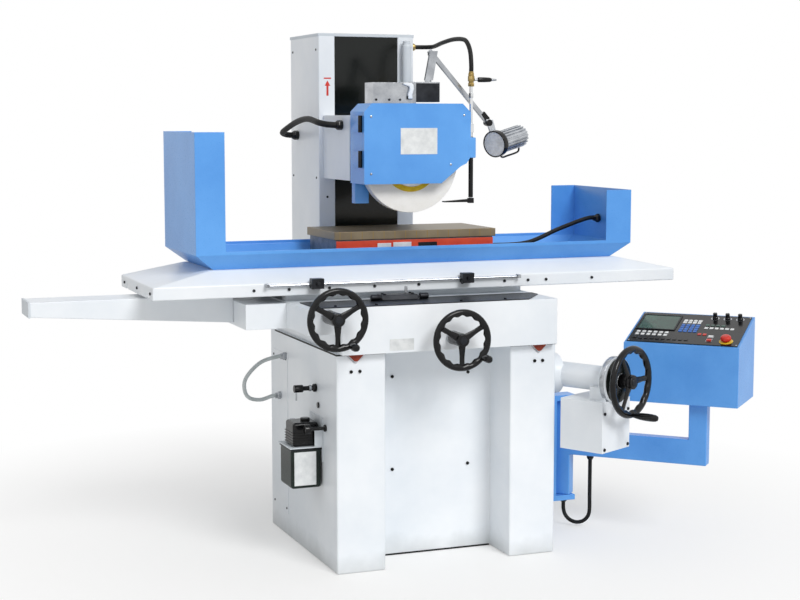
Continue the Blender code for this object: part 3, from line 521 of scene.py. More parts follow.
# name: radius, finish, stiffness, lay, placing frame, and the points of its route
HOSES = {
    "chuck_cable": (0.008, black_rubber, "medium", "loose", MACHINE_PLACE, [
        (0.2923, 0.40, 1.035), (0.3323, 0.40, 1.035), (0.48, 0.41, 1.04),
        (0.62, 0.43, 1.085), (0.747, 0.45, 1.12), (0.7967, 0.45, 1.12)]),
    "coolant_hose": (0.008, black_rubber, "stiff", "hanging", MACHINE_PLACE, [
        (0.23, 0.35, 1.6526), (0.23, 0.35, 1.6776), (0.231, 0.362, 1.7226),
        (0.233, 0.395, 1.7555), (0.236, 0.44, 1.768), (0.242, 0.54, 1.772),
        (0.2465, 0.65, 1.765), (0.2623, 0.765, 1.757), (0.2549, 0.7925, 1.755),
        (0.2348, 0.8126, 1.755), (0.2073, 0.820, 1.755), (0.1873, 0.820, 1.755)]),
    "motor_conduit": (0.011, black_rubber, "stiff", "hanging", MACHINE_PLACE, [
        (-0.1703, 0.58, 1.465), (-0.1903, 0.58, 1.465), (-0.2178, 0.5874, 1.467),
        (-0.2379, 0.6075, 1.471), (-0.2453, 0.635, 1.476), (-0.2475, 0.74, 1.487),
        (-0.2515, 0.86, 1.475), (-0.2623, 0.985, 1.441), (-0.2549, 1.0125, 1.432),
        (-0.2348, 1.0326, 1.427), (-0.2073, 1.04, 1.425), (-0.1873, 1.04, 1.425)]),
    "console_cable": (0.007, black_rubber, "medium", "hanging", CONSOLE_PLACE, [
        (0, 0, 0.0997), (0, 0, 0.080), (0, 0, 0.065), (0.0067, 0, 0.040),
        (0.025, 0, 0.0217), (0.050, 0, 0.015), (0.075, 0, 0.0217), (0.0933, 0, 0.040),
        (0.100, 0, 0.065), (0.100, 0, 0.12), (0.100, 0, 0.20), (0.100, 0, 0.2697)]),
    "hydraulic_hose": (0.007, pale_hose, "stiff", "hanging", MACHINE_PLACE, [
        (-0.3953, 0.545, 0.651), (-0.4253, 0.545, 0.651), (-0.49, 0.555, 0.630),
        (-0.540, 0.570, 0.570), (-0.530, 0.585, 0.510), (-0.480, 0.600, 0.490),
        (-0.4253, 0.610, 0.500), (-0.3953, 0.610, 0.500)]),
}


def make_hose(name, radius, finish, stiffness, lay, place, route):
    """A round curve along the route, with the hose's radius and finish."""
    points = [place @ point for point in smooth_route(route, 1.6 * radius)]
    curve = bpy.data.curves.new(name + "_line", "CURVE")
    curve.dimensions = "3D"
    curve.bevel_depth = radius
    curve.bevel_resolution = 4
    curve.use_fill_caps = True
    line = curve.splines.new("POLY")
    line.points.add(len(points) - 1)
    for knot, point in zip(line.points, points):
        knot.co = (*point, 1.0)
    line.use_smooth = True
    curve.materials.append(finish)
    made = add_object(name + "_line", curve)
    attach(made, frame["nodes"][name]["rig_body"])
    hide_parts(name)


for name, facts in HOSES.items():
    make_hose(name, *facts)

# %% [markdown]
# ## Repeated fasteners, keys and marks
# A machine shows dozens of the same socket screw, key or dial mark. A small Geometry
# Nodes tree copies one item onto a cloud of points, each with its own turn, and makes the
# copies real. The result is turned to a plain mesh, so that it can ride on a body.

# %% The repeating tree
def repeat_tree():
    """Item on every point, turned as the point says, made real and given its finish."""
    tree = bpy.data.node_groups.new("repeat_item", "GeometryNodeTree")
    for name, kind in (("Points", "Geometry"), ("Item", "Object"), ("Size", "Float"),
                       ("Finish", "Material")):
        tree.interface.new_socket(name, in_out="INPUT", socket_type="NodeSocket" + kind)
    tree.interface.new_socket("Copies", in_out="OUTPUT", socket_type="NodeSocketGeometry")
    given = add_node(tree, "NodeGroupInput").outputs
    turn = add_node(tree, "GeometryNodeInputNamedAttribute", {"Name": "turn"},
                    data_type="QUATERNION")
    turns = next(s for s in turn.outputs if s.enabled)
    item = add_node(tree, "GeometryNodeObjectInfo", {"Object": given["Item"]})
    copies = add_node(tree, "GeometryNodeInstanceOnPoints", {
        "Points": given["Points"], "Instance": item.outputs["Geometry"],
        "Rotation": turns, "Scale": given["Size"]})
    real = add_node(tree, "GeometryNodeRealizeInstances", {"Geometry": copies.outputs[0]})
    dressed = add_node(tree, "GeometryNodeSetMaterial", {
        "Geometry": real.outputs[0], "Material": given["Finish"]})
    add_node(tree, "NodeGroupOutput", {"Copies": dressed.outputs[0]})
    return tree


REPEAT = repeat_tree()


# %% Copying an item
def repeat(name, item, places, finish, body, size=1.0):
    """Copies an item's mesh to every placing matrix, as one plain piece."""
    cloud = bpy.data.meshes.new(name + "_points")
    cloud.from_pydata([place.to_translation() for place in places], [], [])
    turns = cloud.attributes.new("turn", "QUATERNION", "POINT")
    for entry, place in zip(turns.data, places):
        entry.value = place.to_quaternion()
    source, grown = add_object(name + "_item", item), add_object(name, cloud)
    modifier = grown.modifiers.new("repeat", "NODES")
    modifier.node_group = REPEAT
    values = {"Item": source, "Size": size, "Finish": finish}
    for socket in REPEAT.interface.items_tree:
        if socket.in_out == "INPUT" and socket.name in values:
            modifier[socket.identifier] = values[socket.name]
    shapes = bpy.context.evaluated_depsgraph_get()
    made = bpy.data.meshes.new_from_object(grown.evaluated_get(shapes))
    grown.modifiers.clear()
    grown.data = made
    bpy.data.objects.remove(source, do_unlink=True)
    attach(grown, body)
    print(name, len(places), "copies")
    return grown


def item_mesh(name, build):
    """One item as mesh data, built about its own origin."""
    mesh = bmesh.new()
    build(mesh)
    return smooth_data(name, mesh)


# %% The items
def socket_screw(mesh):
    """A cap screw's head of 10 mm, with its socket, standing 4 mm proud."""
    profile = [(0.0049, -0.001), (0.005, 0.0034), (0.0044, 0.004), (0.0026, 0.004),
               (0.0024, 0.0015), (AXIS, 0.0012)]
    add_turned(mesh, profile, Matrix.Identity(4), 18)


def button_screw(mesh):
    """A low domed screw head of 9 mm."""
    profile = [(0.0045, -0.001), (0.0044, 0.0005), (0.0036, 0.0018), (0.0018, 0.0024),
               (0.0015, 0.0012), (AXIS, 0.0010)]
    add_turned(mesh, profile, Matrix.Identity(4), 16)


def dial_mark(mesh):
    """A line engraved on a dial, 0.6 mm wide and 4.5 mm long."""
    add_box(mesh, (-0.0003, 0, 0), (0.0003, 0.0045, 0.0003))


def key_cap(mesh):
    """A membrane key, 1 m square before its size is set, with a chamfered edge."""
    rings = []
    for half, height in ((0.5, 0.0), (0.5, 0.10), (0.44, 0.16)):
        rings.append([(-half, -half, height), (half, -half, height), (half, half, height),
                      (-half, half, height)])
    add_rings(mesh, rings)


def louvre(mesh):
    """A pressed louvre 120 mm long, open below and running into the sheet above."""
    rings = []
    for x, out in ((-0.060, 0.0), (-0.055, 0.0045), (0.055, 0.0045), (0.060, 0.0)):
        rings.append([(x, -0.001, 0), (x, out, 0), (x, out, 0.0015), (x, -0.001, 0.013)])
    add_rings(mesh, rings)


SCREW = item_mesh("socket_screw", socket_screw)
BUTTON_SCREW = item_mesh("button_screw", button_screw)
MARK = item_mesh("dial_mark", dial_mark)
KEY = item_mesh("key_cap", key_cap)
LOUVRE = item_mesh("louvre", louvre)
print("items", [item.name for item in (SCREW, BUTTON_SCREW, MARK, KEY, LOUVRE)])

# %% [markdown]
# ## Castings and sheet metal
# The castings and folded sheets already have the right shape in the CAD model, but their
# edges are knife sharp. A real casting's edge is rounded by a few millimetres and a
# folded sheet's by about its own thickness, and that rounding is what catches the light.

# %% Rounded castings and sheets
for node, finish, bevel in (
    ("base_casting", base_enamel, 0.006), ("column_casting", white_enamel, 0.004),
    ("saddle_casting", white_enamel, 0.005), ("guideway_cover", white_enamel, 0.003),
    ("table_casting", white_enamel, 0.004), ("head_casting", white_enamel, 0.006),
    ("elevating_gearbox", white_enamel, 0.004), ("splash_tray", blue_enamel, 0.0012),
    ("wheel_guard", blue_enamel, 0.002), ("guard_door", blue_enamel, 0.003),
    ("console_bracket", blue_enamel, 0.002), ("console_arm", blue_enamel, 0.004),
    ("console_box", blue_enamel, 0.003), ("console_panel", black_moulding, 0.0008),
    ("chuck_base", machined_iron, 0.0015), ("chuck_front_panel", orange_enamel, 0.0008),
    # The saddle's ledge plate is blackened steel, and its dark top is also painted shade from
    # the table above it.
    ("chuck_top_plate", chuck_face, 0.0012), ("saddle_ledge_plate", dark_steel, 0.0006),
    ("reversing_valve", dark_steel, 0.002), ("dresser_body", bright_steel, 0.003),
    ("left_dog", dark_steel, 0.0015), ("right_dog", dark_steel, 0.0015),
    ("lamp_lower_arm", bright_steel, 0.001), ("lamp_upper_arm", bright_steel, 0.001),
    ("reversing_lever", bright_steel, 0.001), ("oil_pump", black_moulding, 0.004),
    ("coolant_nozzle", black_moulding, 0.0008),
    ("start_button", white_key, 0.0008), ("stop_button", red_moulding, 0.0008),
):
    refined(node, finish, bevel, 3 if bevel > 0.002 else 2)

# %% Solids whose own shape is already right
for node, finish in (
    ("spindle_motor", machined_iron), ("spindle_housing", machined_iron),
    ("spindle_shaft", bright_steel), ("wheel_flange", bright_steel),
    ("dog_rail", bright_steel),
):
    materials = frame["nodes"][node].data.materials
    materials.clear()
    materials.append(finish)
    print(node, "is", finish.name)

# %% [markdown]
# ## The column's way cover
# A glossy black strip closes the channel in front of the column's ways. It runs behind
# the head for the column's whole height, so that no gap opens when the head travels.

# %% Way cover and column trim
column_low, column_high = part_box("column_casting")
cover_low, cover_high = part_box("upper_way_cover")
lower_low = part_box("lower_way_cover")[0]
plate("way_cover_strip", (cover_low.x, cover_low.y, lower_low.z), cover_high, cover_lacquer,
      "base", 0.001, 2, ("upper_way_cover", "lower_way_cover"))
# The cap stands a hair below the casting's top, so that the two faces don't coincide.
LIP, CAP_HEIGHT, CAP_DROP = 0.002, 0.012, 0.0008
plate("column_cap", (column_low.x - LIP, column_low.y - 0.0002, column_high.z - CAP_HEIGHT),
      (column_high.x + LIP, column_high.y + LIP, column_high.z - CAP_DROP), grey_enamel, "base",
      0.0015)
# A grey pipe for the coolant stands on the head, in front of the column's right strip.
mesh = bmesh.new()
pipe_x = (cover_high.x + column_high.x) / 2 - 0.004
pipe_y = column_low.y - 0.022
head_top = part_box("head_casting")[1].z
add_turned(mesh, rounded([(AXIS, head_top), (0.024, head_top), (0.024, head_top + 0.008),
                          (0.018, head_top + 0.010), (0.018, 1.755), (0.014, 1.762),
                          (0.014, 1.775), (AXIS, 1.775)]), aim((pipe_x, pipe_y, 0)), 36)
piece("cable_pipe", mesh, grey_enamel, "head")
# A plain red arrow with a bar over it points the way that the head is lifted.
mesh = bmesh.new()
arrow_x, arrow_z, thick = column_low.x + 0.034, 1.572, 0.0002
arrow = [(-0.004, 0), (0.004, 0), (0.004, 0.036), (0.011, 0.036), (0, 0.056),
         (-0.011, 0.036), (-0.004, 0.036)]
add_prism(mesh, [(arrow_x + x, arrow_z + z) for x, z in arrow],
          (column_low.y - thick, column_low.y + thick))
add_box(mesh, (arrow_x - 0.014, column_low.y - thick, arrow_z + 0.061),
        (arrow_x + 0.014, column_low.y + thick, arrow_z + 0.066))
piece("lift_arrow", mesh, mark_red, "base")

# %% [markdown]
# ## Wipers, covers and screws
# Red felt wipers close the front ends of the cross ways, and ride with the saddle. The
# left side of the base has a thin service cover, held by four button screws, and the
# back of the column a taller one with louvres.

# %% Wipers, seal and painted shadow under the panel
base_low, base_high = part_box("base_casting")
saddle_low, saddle_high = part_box("saddle_casting")
WAY_X, WAY_DEPTH, TOE_X, TOE_DEPTH = 0.33, 0.030, 0.225, 0.163
mesh = bmesh.new()
for x in (-WAY_X, WAY_X):
    drop, tip = WAY_DEPTH - 0.0014, 0.005
    top, foot = base_high.z + 0.0001, base_high.z - drop + tip
    add_prism(mesh, [(x - drop, top), (x - tip, foot), (x + tip, foot), (x + drop, top)],
              (FRONT - 0.010, FRONT - 0.0006))
piece("way_wipers", mesh, felt_wiper, "saddle", bevel=0.0012)

# A black rubber strip seals the joint between the saddle and the base.
mesh = bmesh.new()
SEAL, SEAL_OUT, WAY_GAP = 0.005, 0.0015, 0.032
seal_z, top_z = base_high.z - SEAL, base_high.z
add_box(mesh, (base_low.x - SEAL_OUT, FRONT - SEAL_OUT, seal_z),
        (base_low.x + 0.002, saddle_high.y, top_z))
add_box(mesh, (base_high.x - 0.002, FRONT - SEAL_OUT, seal_z),
        (base_high.x + SEAL_OUT, saddle_high.y, top_z))
for left_x, right_x in ((base_low.x, -WAY_X - WAY_GAP), (-WAY_X + WAY_GAP, -TOE_X),
                        (TOE_X, WAY_X - WAY_GAP), (WAY_X + WAY_GAP, base_high.x)):
    add_box(mesh, (left_x, FRONT - SEAL_OUT, seal_z), (right_x, FRONT + 0.001, top_z))
piece("joint_seal", mesh, black_rubber, "base", bevel=0.0006)
# A black strip along the foot of the panel between the legs is painted shadow where the panel
# meets the floor.
mesh = bmesh.new()
toe_wall, TOE_GAP = FRONT + TOE_DEPTH, 0.0005
add_box(mesh, (-TOE_X + TOE_GAP, toe_wall - 0.0012, TOE_GAP),
        (TOE_X - TOE_GAP, toe_wall + 0.001, 0.0060))
piece("toe_strip", mesh, black_rubber, "base", bevel=0.0004)

# %% Covers and their screws
SIDE_COVER = 0.002
plate("side_cover", (base_low.x - SIDE_COVER, -0.05, 0.08),
      (base_low.x + SIDE_COVER, 0.125, 0.66), white_enamel, "base", 0.001)
# The column's back is closed by a sheet cover with pressed louvres near its top and foot.
COVER_LOW, COVER_HIGH, LOUVRE_STEP = 0.800, 1.740, 0.022
plate("column_rear_cover", (column_low.x + 0.035, column_high.y - 0.001, COVER_LOW),
      (column_high.x - 0.035, column_high.y + 0.0016, COVER_HIGH), white_enamel, "base",
      0.0008)
places = [at((0, column_high.y + 0.0016, z + row * LOUVRE_STEP), UP)
          for z in (COVER_LOW + 0.10, COVER_HIGH - 0.22) for row in range(6)]
repeat("column_louvres", LOUVRE, places, grey_enamel, "base")
places = [at((x, column_high.y + 0.0014, z), to_rear)
          for x in (column_low.x + 0.050, column_high.x - 0.050)
          for z in (COVER_LOW + 0.015, (COVER_LOW + COVER_HIGH) / 2, COVER_HIGH - 0.015)]
repeat("rear_cover_screws", BUTTON_SCREW, places, dark_steel, "base")
places = [at((base_low.x - SIDE_COVER, y, z), to_left)
          for y in (-0.035, 0.11) for z in (0.10, 0.64)]
for x, turn in ((column_low.x, to_left), (column_high.x, to_right)):
    places += [at((x, y, z), turn) for y in (0.24, 0.52) for z in (0.80, 1.27, 1.74)]
places += [at((x, column_low.y, z), to_front) for x in (-0.155, 0.155) for z in (0.78, 1.20)]
repeat("base_screws", BUTTON_SCREW, places, dark_steel, "base")
# Dark cap screws clamp the way wipers and the panel between the legs.
places = [at((sign * WAY_X + shift, FRONT, 0.672), to_front)
          for sign in (-1, 1) for shift in (-0.015, 0.015)]
places += [at((x, toe_wall, z), to_front) for x in (-0.14, 0.14) for z in (0.30, 0.62)]
repeat("leg_screws", SCREW, places, black_rubber, "base", 1.1)

# %% Trim of the saddle's ledge
valve_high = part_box("reversing_valve")[1]
ledge_low, ledge_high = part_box("saddle_ledge_plate")
places = [at((x, y, valve_high.z), UP) for x in (-0.185, -0.085) for y in (-0.465, -0.443)]
places += [at((x, ledge_low.y + 0.02, ledge_high.z), UP) for x in (-0.40, -0.26, 0.04, 0.20)]
repeat("saddle_screws", SCREW, places, dark_steel, "saddle")

# The reversing gear on the ledge: a round pilot spool and its two stops.
STOP_RADIUS = 0.010
mesh = bmesh.new()
for x in (-0.222, -0.048):
    add_disc(mesh, at((x - 0.015, -0.475, ledge_high.z + STOP_RADIUS), to_right), STOP_RADIUS,
             0, 0.030, 24, 0.002)
add_disc(mesh, at((-0.235, -0.4745, ledge_high.z + 0.008), to_right), 0.004, 0, 0.20, 16, 0)
piece("reversing_spool", mesh, dark_steel, "saddle")

# %% Trim of the table
table_low, table_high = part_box("table_casting")
SCREW_Z = 0.930
places = [at((x, table_low.y, SCREW_Z), to_front)
          for x in (-0.62, -0.50, -0.36, -0.20, -0.04, 0.12, 0.28, 0.37, 0.44, 0.62)]
for x, turn in ((table_low.x, to_left), (table_high.x, to_right)):
    places += [at((x, y, SCREW_Z), turn) for y in (-0.38, -0.18, 0.02)]
repeat("table_screws", SCREW, places, dark_steel, "table")
mesh = bmesh.new()
for x in (-0.578, 0.328):
    add_box(mesh, (x - 0.006, table_low.y - 0.022, 0.940), (x + 0.006, table_low.y, 0.952))
piece("rail_brackets", mesh, bright_steel, "table", 0.002)
for body, x in (("left_dog", -0.41), ("right_dog", 0.13)):
    mesh = bmesh.new()
    add_disc(mesh, at((x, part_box(body)[0].y, 0.948), to_front), 0.0065, 0, 0.008, 20)
    piece(body + "_screw", mesh, dark_steel, body)

# %% [markdown]
# ## Guide cover end
# A grey end plate closes the long cover over the table's left-hand way. It stands a hair
# proud of the cover's end and a few millimetres proud of its sides.

# %% End plate
guide_low, guide_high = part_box("guideway_cover")
plate("guide_cover_end", (guide_low.x - 0.0004, guide_low.y - 0.003, guide_high.z - 0.050),
      (guide_low.x + 0.007, guide_high.y + 0.003, guide_high.z + 0.001), grey_enamel, "saddle",
      0.001)

# %% [markdown]
# ## Chuck details
# The front panel over the coils carries a dark plate, two pale plates, two round black
# buttons and a row of small screws. The cable leaves the chuck's right end through one
# six-sided gland, and meets the tray's guard at another.

# %% Chuck fittings
panel_low, panel_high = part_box("chuck_front_panel")
face_y = panel_low.y
PLATE = 0.0016
plate("chuck_plates", (0.008, face_y - PLATE, panel_low.z + 0.022),
      (0.078, face_y, panel_high.z - 0.010), dark_steel, "table", 0.0005)
mesh = bmesh.new()
for left_x, right_x, gap in ((-0.143, -0.093, 0.020), (-0.085, -0.018, 0.018)):
    add_box(mesh, (left_x, face_y - PLATE, panel_low.z + gap),
            (right_x, face_y, panel_high.z - gap + 0.010))
piece("chuck_switch_plates", mesh, bare_plate, "table", 0.0005)
mesh = bmesh.new()
for x in (-0.068, -0.036):
    add_disc(mesh, at((x, face_y, (panel_low.z + panel_high.z) / 2), to_front), 0.010, 0, 0.005,
             24)
piece("chuck_studs", mesh, black_moulding, "table")
SHEET = 0.003
chuck_end, guard_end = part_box("chuck_base")[1].x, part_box("splash_tray")[1].x - SHEET
for name, place, outline in (
    ("chuck_gland", at((chuck_end, FRONT + 0.40, 1.035), to_right),
     [(0.0085, 0), (0.015, 0), (0.015, 0.014), (0.011, 0.020), (0.0085, 0.034)]),
    ("tray_gland", at((guard_end, FRONT + 0.45, 1.12), to_left),
     [(0.0085, 0), (0.016, 0), (0.016, 0.010), (0.0115, 0.016), (0.0085, 0.026)]),
):
    mesh = bmesh.new()
    add_turned(mesh, rounded(outline, 0.002), place, 6)
    piece(name, mesh, black_moulding, "table")
places = [at((x, face_y, panel_low.z + 0.010), to_front)
          for x in (-0.27, -0.16, -0.09, 0.09, 0.20, 0.27)]
repeat("chuck_screws", BUTTON_SCREW, places, bright_steel, "table", 0.7)

# %% [markdown]
# ## Handwheels
# A cast phenolic handwheel has a round rim with finger grips moulded into its inner side,
# three tapered spokes and a metal hub. The rim is one closed tube whose inner side rises
# and falls round the circle. The spokes are flattened tubes that widen towards the hub.

# %% One handwheel
FINGER_GRIPS = 16
SPOKE_TURNS = (-pi / 2, pi / 6, 5 * pi / 6)
# How far out along the rim's radius; half the width and half the depth, by the rim's thickness
SPOKE_SHAPE = ((0.16, 1.35, 0.52), (0.35, 1.10, 0.42), (0.60, 0.88, 0.36),
               (0.82, 0.90, 0.40), (0.95, 1.15, 0.50))
WHEEL_MARKS, LIFT_MARKS = 50, 100


def add_rim(mesh, place, rim, thick):
    """A closed round tube whose inner side rises and falls once for each finger grip."""
    sides, around = FINGER_GRIPS * 6, 14
    rings = []
    for step in range(sides):
        turn = 2 * pi * step / sides
        ring = []
        for part in range(around):
            angle = 2 * pi * part / around
            inner = max(0.0, -cos(angle))
            wave = 0.26 * inner * (cos(FINGER_GRIPS * turn) - 1)
            out = rim + thick * (0.99 * cos(angle) + wave)
            ring.append(place @ Vector((out * cos(turn), out * sin(turn),
                                        0.97 * thick * sin(angle))))
        rings.append(ring)
    add_rings(mesh, rings, close=True)


def add_spoke(mesh, place, turn, rim, thick):
    """A flattened tube from inside the hub to inside the rim."""
    around, rings = 12, []
    for along, wide, deep in SPOKE_SHAPE:
        ring = []
        for part in range(around):
            angle = 2 * pi * part / around
            across, height = wide * thick * cos(angle), deep * thick * sin(angle) - 0.1 * thick
            out = along * rim
            ring.append(place @ Vector((out * cos(turn) - across * sin(turn),
                                        out * sin(turn) + across * cos(turn), height)))
        rings.append(ring)
    add_rings(mesh, rings)


def mark_ring(name, place, radius, height, count, body):
    """Lines engraved round a turned collar, evenly spaced, each standing on its surface."""
    stand = Matrix.Rotation(radians(90), 4, "X") @ Matrix.Rotation(pi, 4, "Z")
    marks = []
    for step in range(count):
        turn = Matrix.Rotation(2 * pi * step / count, 4, "Z")
        marks.append(place @ turn @ Matrix.Translation((0, radius, height)) @ stand)
    repeat(name, MARK, marks, dark_steel, body)


# %% A whole wheel and a grip
def make_wheel(name, centre, facing, rim, thick, hub_back, hub_front):
    """Rim, spokes and hub in one casting, with a cap in front and a marked collar behind."""
    place = aim(centre, facing)
    hub = 2.3 * thick
    mesh = bmesh.new()
    add_rim(mesh, place, rim, thick)
    for turn in SPOKE_TURNS:
        add_spoke(mesh, place, turn, rim, thick)
    add_turned(mesh, rounded([(AXIS, hub_back), (hub * 0.96, hub_back), (hub * 0.96, -0.006),
                              (hub, 0.0), (hub * 0.92, hub_front - 0.002),
                              (AXIS, hub_front - 0.002)], 0.003), place, 36)
    piece(name + "_casting", mesh, black_moulding, name, stands_for=(name,))
    mesh = bmesh.new()
    add_disc(mesh, place, hub * 0.55, hub_front - 0.003, hub_front, 30)
    piece(name + "_cap", mesh, dark_steel, name)
    mesh = bmesh.new()
    add_disc(mesh, place, hub * 0.99, hub_back + 0.0004, hub_back + 0.012, 40, 0.001)
    piece(name + "_collar", mesh, bright_steel, name)
    mark_ring(name + "_marks", place, hub * 0.99 - 0.0001, hub_back + 0.004, WHEEL_MARKS, name)


def make_grip(name, centre, facing, length):
    """A turned handle on its pin: narrow at the wheel, full in the palm, with a domed end."""
    outline = [(AXIS, 0.0), (0.0075, 0.0), (0.0080, 0.05), (0.0100, 0.16), (0.0120, 0.34),
               (0.0129, 0.55), (0.0127, 0.76), (0.0115, 0.90), (0.0085, 0.975),
               (0.0040, 0.998), (AXIS, 1.0)]
    mesh = bmesh.new()
    add_turned(mesh, [(radius, along * length) for radius, along in outline],
               aim(centre, facing), 28)
    piece(name + "_handle", mesh, black_moulding, name, stands_for=(name,))


# %% The three wheels and their grips
LIFT_ANGLE = radians(-61.5)
LIFT_FACING = (cos(LIFT_ANGLE), sin(LIFT_ANGLE), 0.0)
LIFT_CENTRE = Vector((0.584, -0.765, 0.611))
OPERATOR = (0, -1, 0)
make_wheel("table_handwheel", (-0.434, -0.710, 0.860), OPERATOR, 0.092, 0.010, -0.0997, 0.014)
make_wheel("cross_handwheel", (0.0, -0.690, 0.772), OPERATOR, 0.092, 0.010, -0.0797, 0.014)
make_wheel("elevating_handwheel", LIFT_CENTRE, LIFT_FACING, 0.112, 0.011, -0.0497, 0.016)
joints = {joint["name"]: joint for joint in frame["joints"]}
for name, facing, length in (("table_grip", OPERATOR, 0.055), ("cross_grip", OPERATOR, 0.055),
                             ("elevating_grip", LIFT_FACING, 0.095)):
    make_grip(name, joints[name + "_turn"]["pos_m"], facing, length)

# %% [markdown]
# ## Elevating gearbox
# The slanting tube ends in a box held by four screws. Its big dial has a glossy black
# face and a steel ring with a mark for every hundredth of a turn.

# %% Dial ring and bolts
lift = aim(LIFT_CENTRE, LIFT_FACING)
DIAL_RADIUS, DIAL_BACK, DIAL_FRONT = 0.080, -0.078, -0.050
mesh = bmesh.new()
add_sleeve(mesh, lift, 0.060, DIAL_RADIUS + 0.0012, DIAL_BACK + 0.004, DIAL_FRONT - 0.008, 72,
           0.0012)
piece("lift_dial", mesh, bright_steel, "base")
mesh = bmesh.new()
add_sleeve(mesh, lift, 0.024, 0.0765, DIAL_FRONT - 0.001, DIAL_FRONT + 0.0025, 72, 0.001)
piece("lift_dial_face", mesh, cover_lacquer, "base")
mark_ring("lift_dial_marks", lift, DIAL_RADIUS + 0.0011, DIAL_BACK + 0.010, LIFT_MARKS, "base")
across = Vector((-LIFT_FACING[1], LIFT_FACING[0], 0.0))
box_face = LIFT_CENTRE + Vector(LIFT_FACING) * (DIAL_BACK + 0.022)
facing_turn = aim((0, 0, 0), LIFT_FACING)
places = [at(box_face + across * side + Vector((0, 0, drop)), facing_turn)
          for side in (-0.072, 0.072) for drop in (-0.228, -0.106)]
repeat("gearbox_screws", SCREW, places, dark_steel, "base", 1.1)

# %% [markdown]
# ## Grinding wheel and its flange
# The wheel is a plain disc of white corundum. Yellow paper blotters show as a thin ring
# round the steel flange, and six cap screws hold the flange's cover.

# %% Wheel
SPINDLE_X, SPINDLE_Z = 0.0, 1.338
BORE, BOLT_CIRCLE, BOLTS = 0.0636, 0.0745, 6
wheel_low, wheel_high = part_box("grinding_wheel")
WHEEL_R = (wheel_high.z - wheel_low.z) / 2 - 0.0002
spindle_place = at((SPINDLE_X, 0, SPINDLE_Z), to_front)
near, far = -wheel_low.y, -wheel_high.y
outline = [(BORE, far), (WHEEL_R, far), (WHEEL_R, near), (BORE, near), (BORE, (near + far) / 2)]
mesh = bmesh.new()
add_turned(mesh, rounded(outline)[:-1], spindle_place, 128, ring=True)
piece("abrasive_wheel", mesh, wheel_grit, "spindle", stands_for=("grinding_wheel",))
mesh = bmesh.new()
add_sleeve(mesh, spindle_place, 0.064, 0.103, near, near + 0.0007, 96, 0)
piece("paper_blotter_ring", mesh, paper_blotter, "spindle")
flange_low, flange_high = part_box("flange_cover")
mesh = bmesh.new()
add_sleeve(mesh, spindle_place, 0.064, 0.0848, -flange_high.y, -flange_low.y, 96, 0.0012)
piece("flange_cover_turned", mesh, bright_steel, "spindle",
      stands_for=("flange_cover",))
places = []
for step in range(BOLTS):
    turn = 2 * pi * step / BOLTS
    places.append(at((SPINDLE_X + BOLT_CIRCLE * cos(turn), flange_low.y,
                      SPINDLE_Z + BOLT_CIRCLE * sin(turn)), to_front))
repeat("flange_screws", SCREW, places, dark_steel, "spindle", 0.8)

# %% [markdown]
# ## Guard hinges, latch and head covers
# The guard is welded sheet. Its door hangs on two black hinges at the left and is held by
# a blue latch block at the right. The side of the head has a plain grey cover.

# %% Guard trim
door_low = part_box("guard_door")[0]
HINGE, HINGE_FACE = (-0.1965, -0.262), -0.190
HINGE_HALF = 0.029
mesh = bmesh.new()
for z in (1.47, 1.35):
    add_disc(mesh, aim((*HINGE, 0)), 0.0072, z - HINGE_HALF, z + HINGE_HALF, 20, 0.002)
    add_box(mesh, (HINGE_FACE - 0.0035, HINGE[1] + 0.002, z - 0.0275),
            (HINGE_FACE + 0.001, HINGE[1] + 0.088, z + 0.0275))
piece("guard_hinges", mesh, black_moulding, "head", 0.0012)
plate("door_latch", (0.196, door_low.y - 0.0006, 1.352), (0.2252, door_low.y + 0.034, 1.423),
      blue_enamel, "guard_door", 0.003, 3)
places = [at((x, door_low.y, z), to_front) for x, z in (
    (-0.165, 1.300), (-0.165, 1.495), (0.180, 1.50), (0.130, 1.33))]
repeat("door_screws", BUTTON_SCREW, places, bright_steel, "guard_door")
head_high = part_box("head_casting")[1]
places = [at((x, -0.08, head_high.z), UP) for x in (-0.15, 0.15)]
places += [at((head_high.x, y, z), to_right) for y in (-0.05, 0.17) for z in (1.30, 1.47)]
repeat("head_screws", SCREW, places, bright_steel, "head", 1.2)
plate("head_side_covers", (head_high.x - 0.001, -0.03, 1.315),
      (head_high.x + 0.0025, 0.15, 1.455), grey_enamel, "head", 0.001)

# %% [markdown]
# ## Coolant fittings and dresser
# A steel pipe brings coolant down to a flat black nozzle. A brass valve with a tapered
# steel and black handle sits on top of it, and a rubber hose runs on from there. The
# wheel dresser stands on the guard's top, with a steel slide and a bent white lever.

# %% Coolant pipe, valve and tap
PIPE, NUT_Z = Vector((0.230, -0.230, 0.0)), 1.56
pipe_low, pipe_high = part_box("coolant_pipe")
mesh = bmesh.new()
add_disc(mesh, aim(PIPE), 0.0060, pipe_low.z, pipe_high.z, 24, 0)
add_disc(mesh, aim(PIPE), 0.0092, NUT_Z, NUT_Z + 0.018, 6)
add_box(mesh, (pipe_low.x, -0.242, 1.44), (0.236, -0.218, 1.47))
piece("coolant_pipe_fitted", mesh, chrome, "head", 0.0006, 2, ("coolant_pipe",))
mesh = bmesh.new()
add_sleeve(mesh, aim(PIPE), 0.0062, 0.0082, 1.212, 1.425, 28)
piece("pipe_sleeve", mesh, black_rubber, "head")
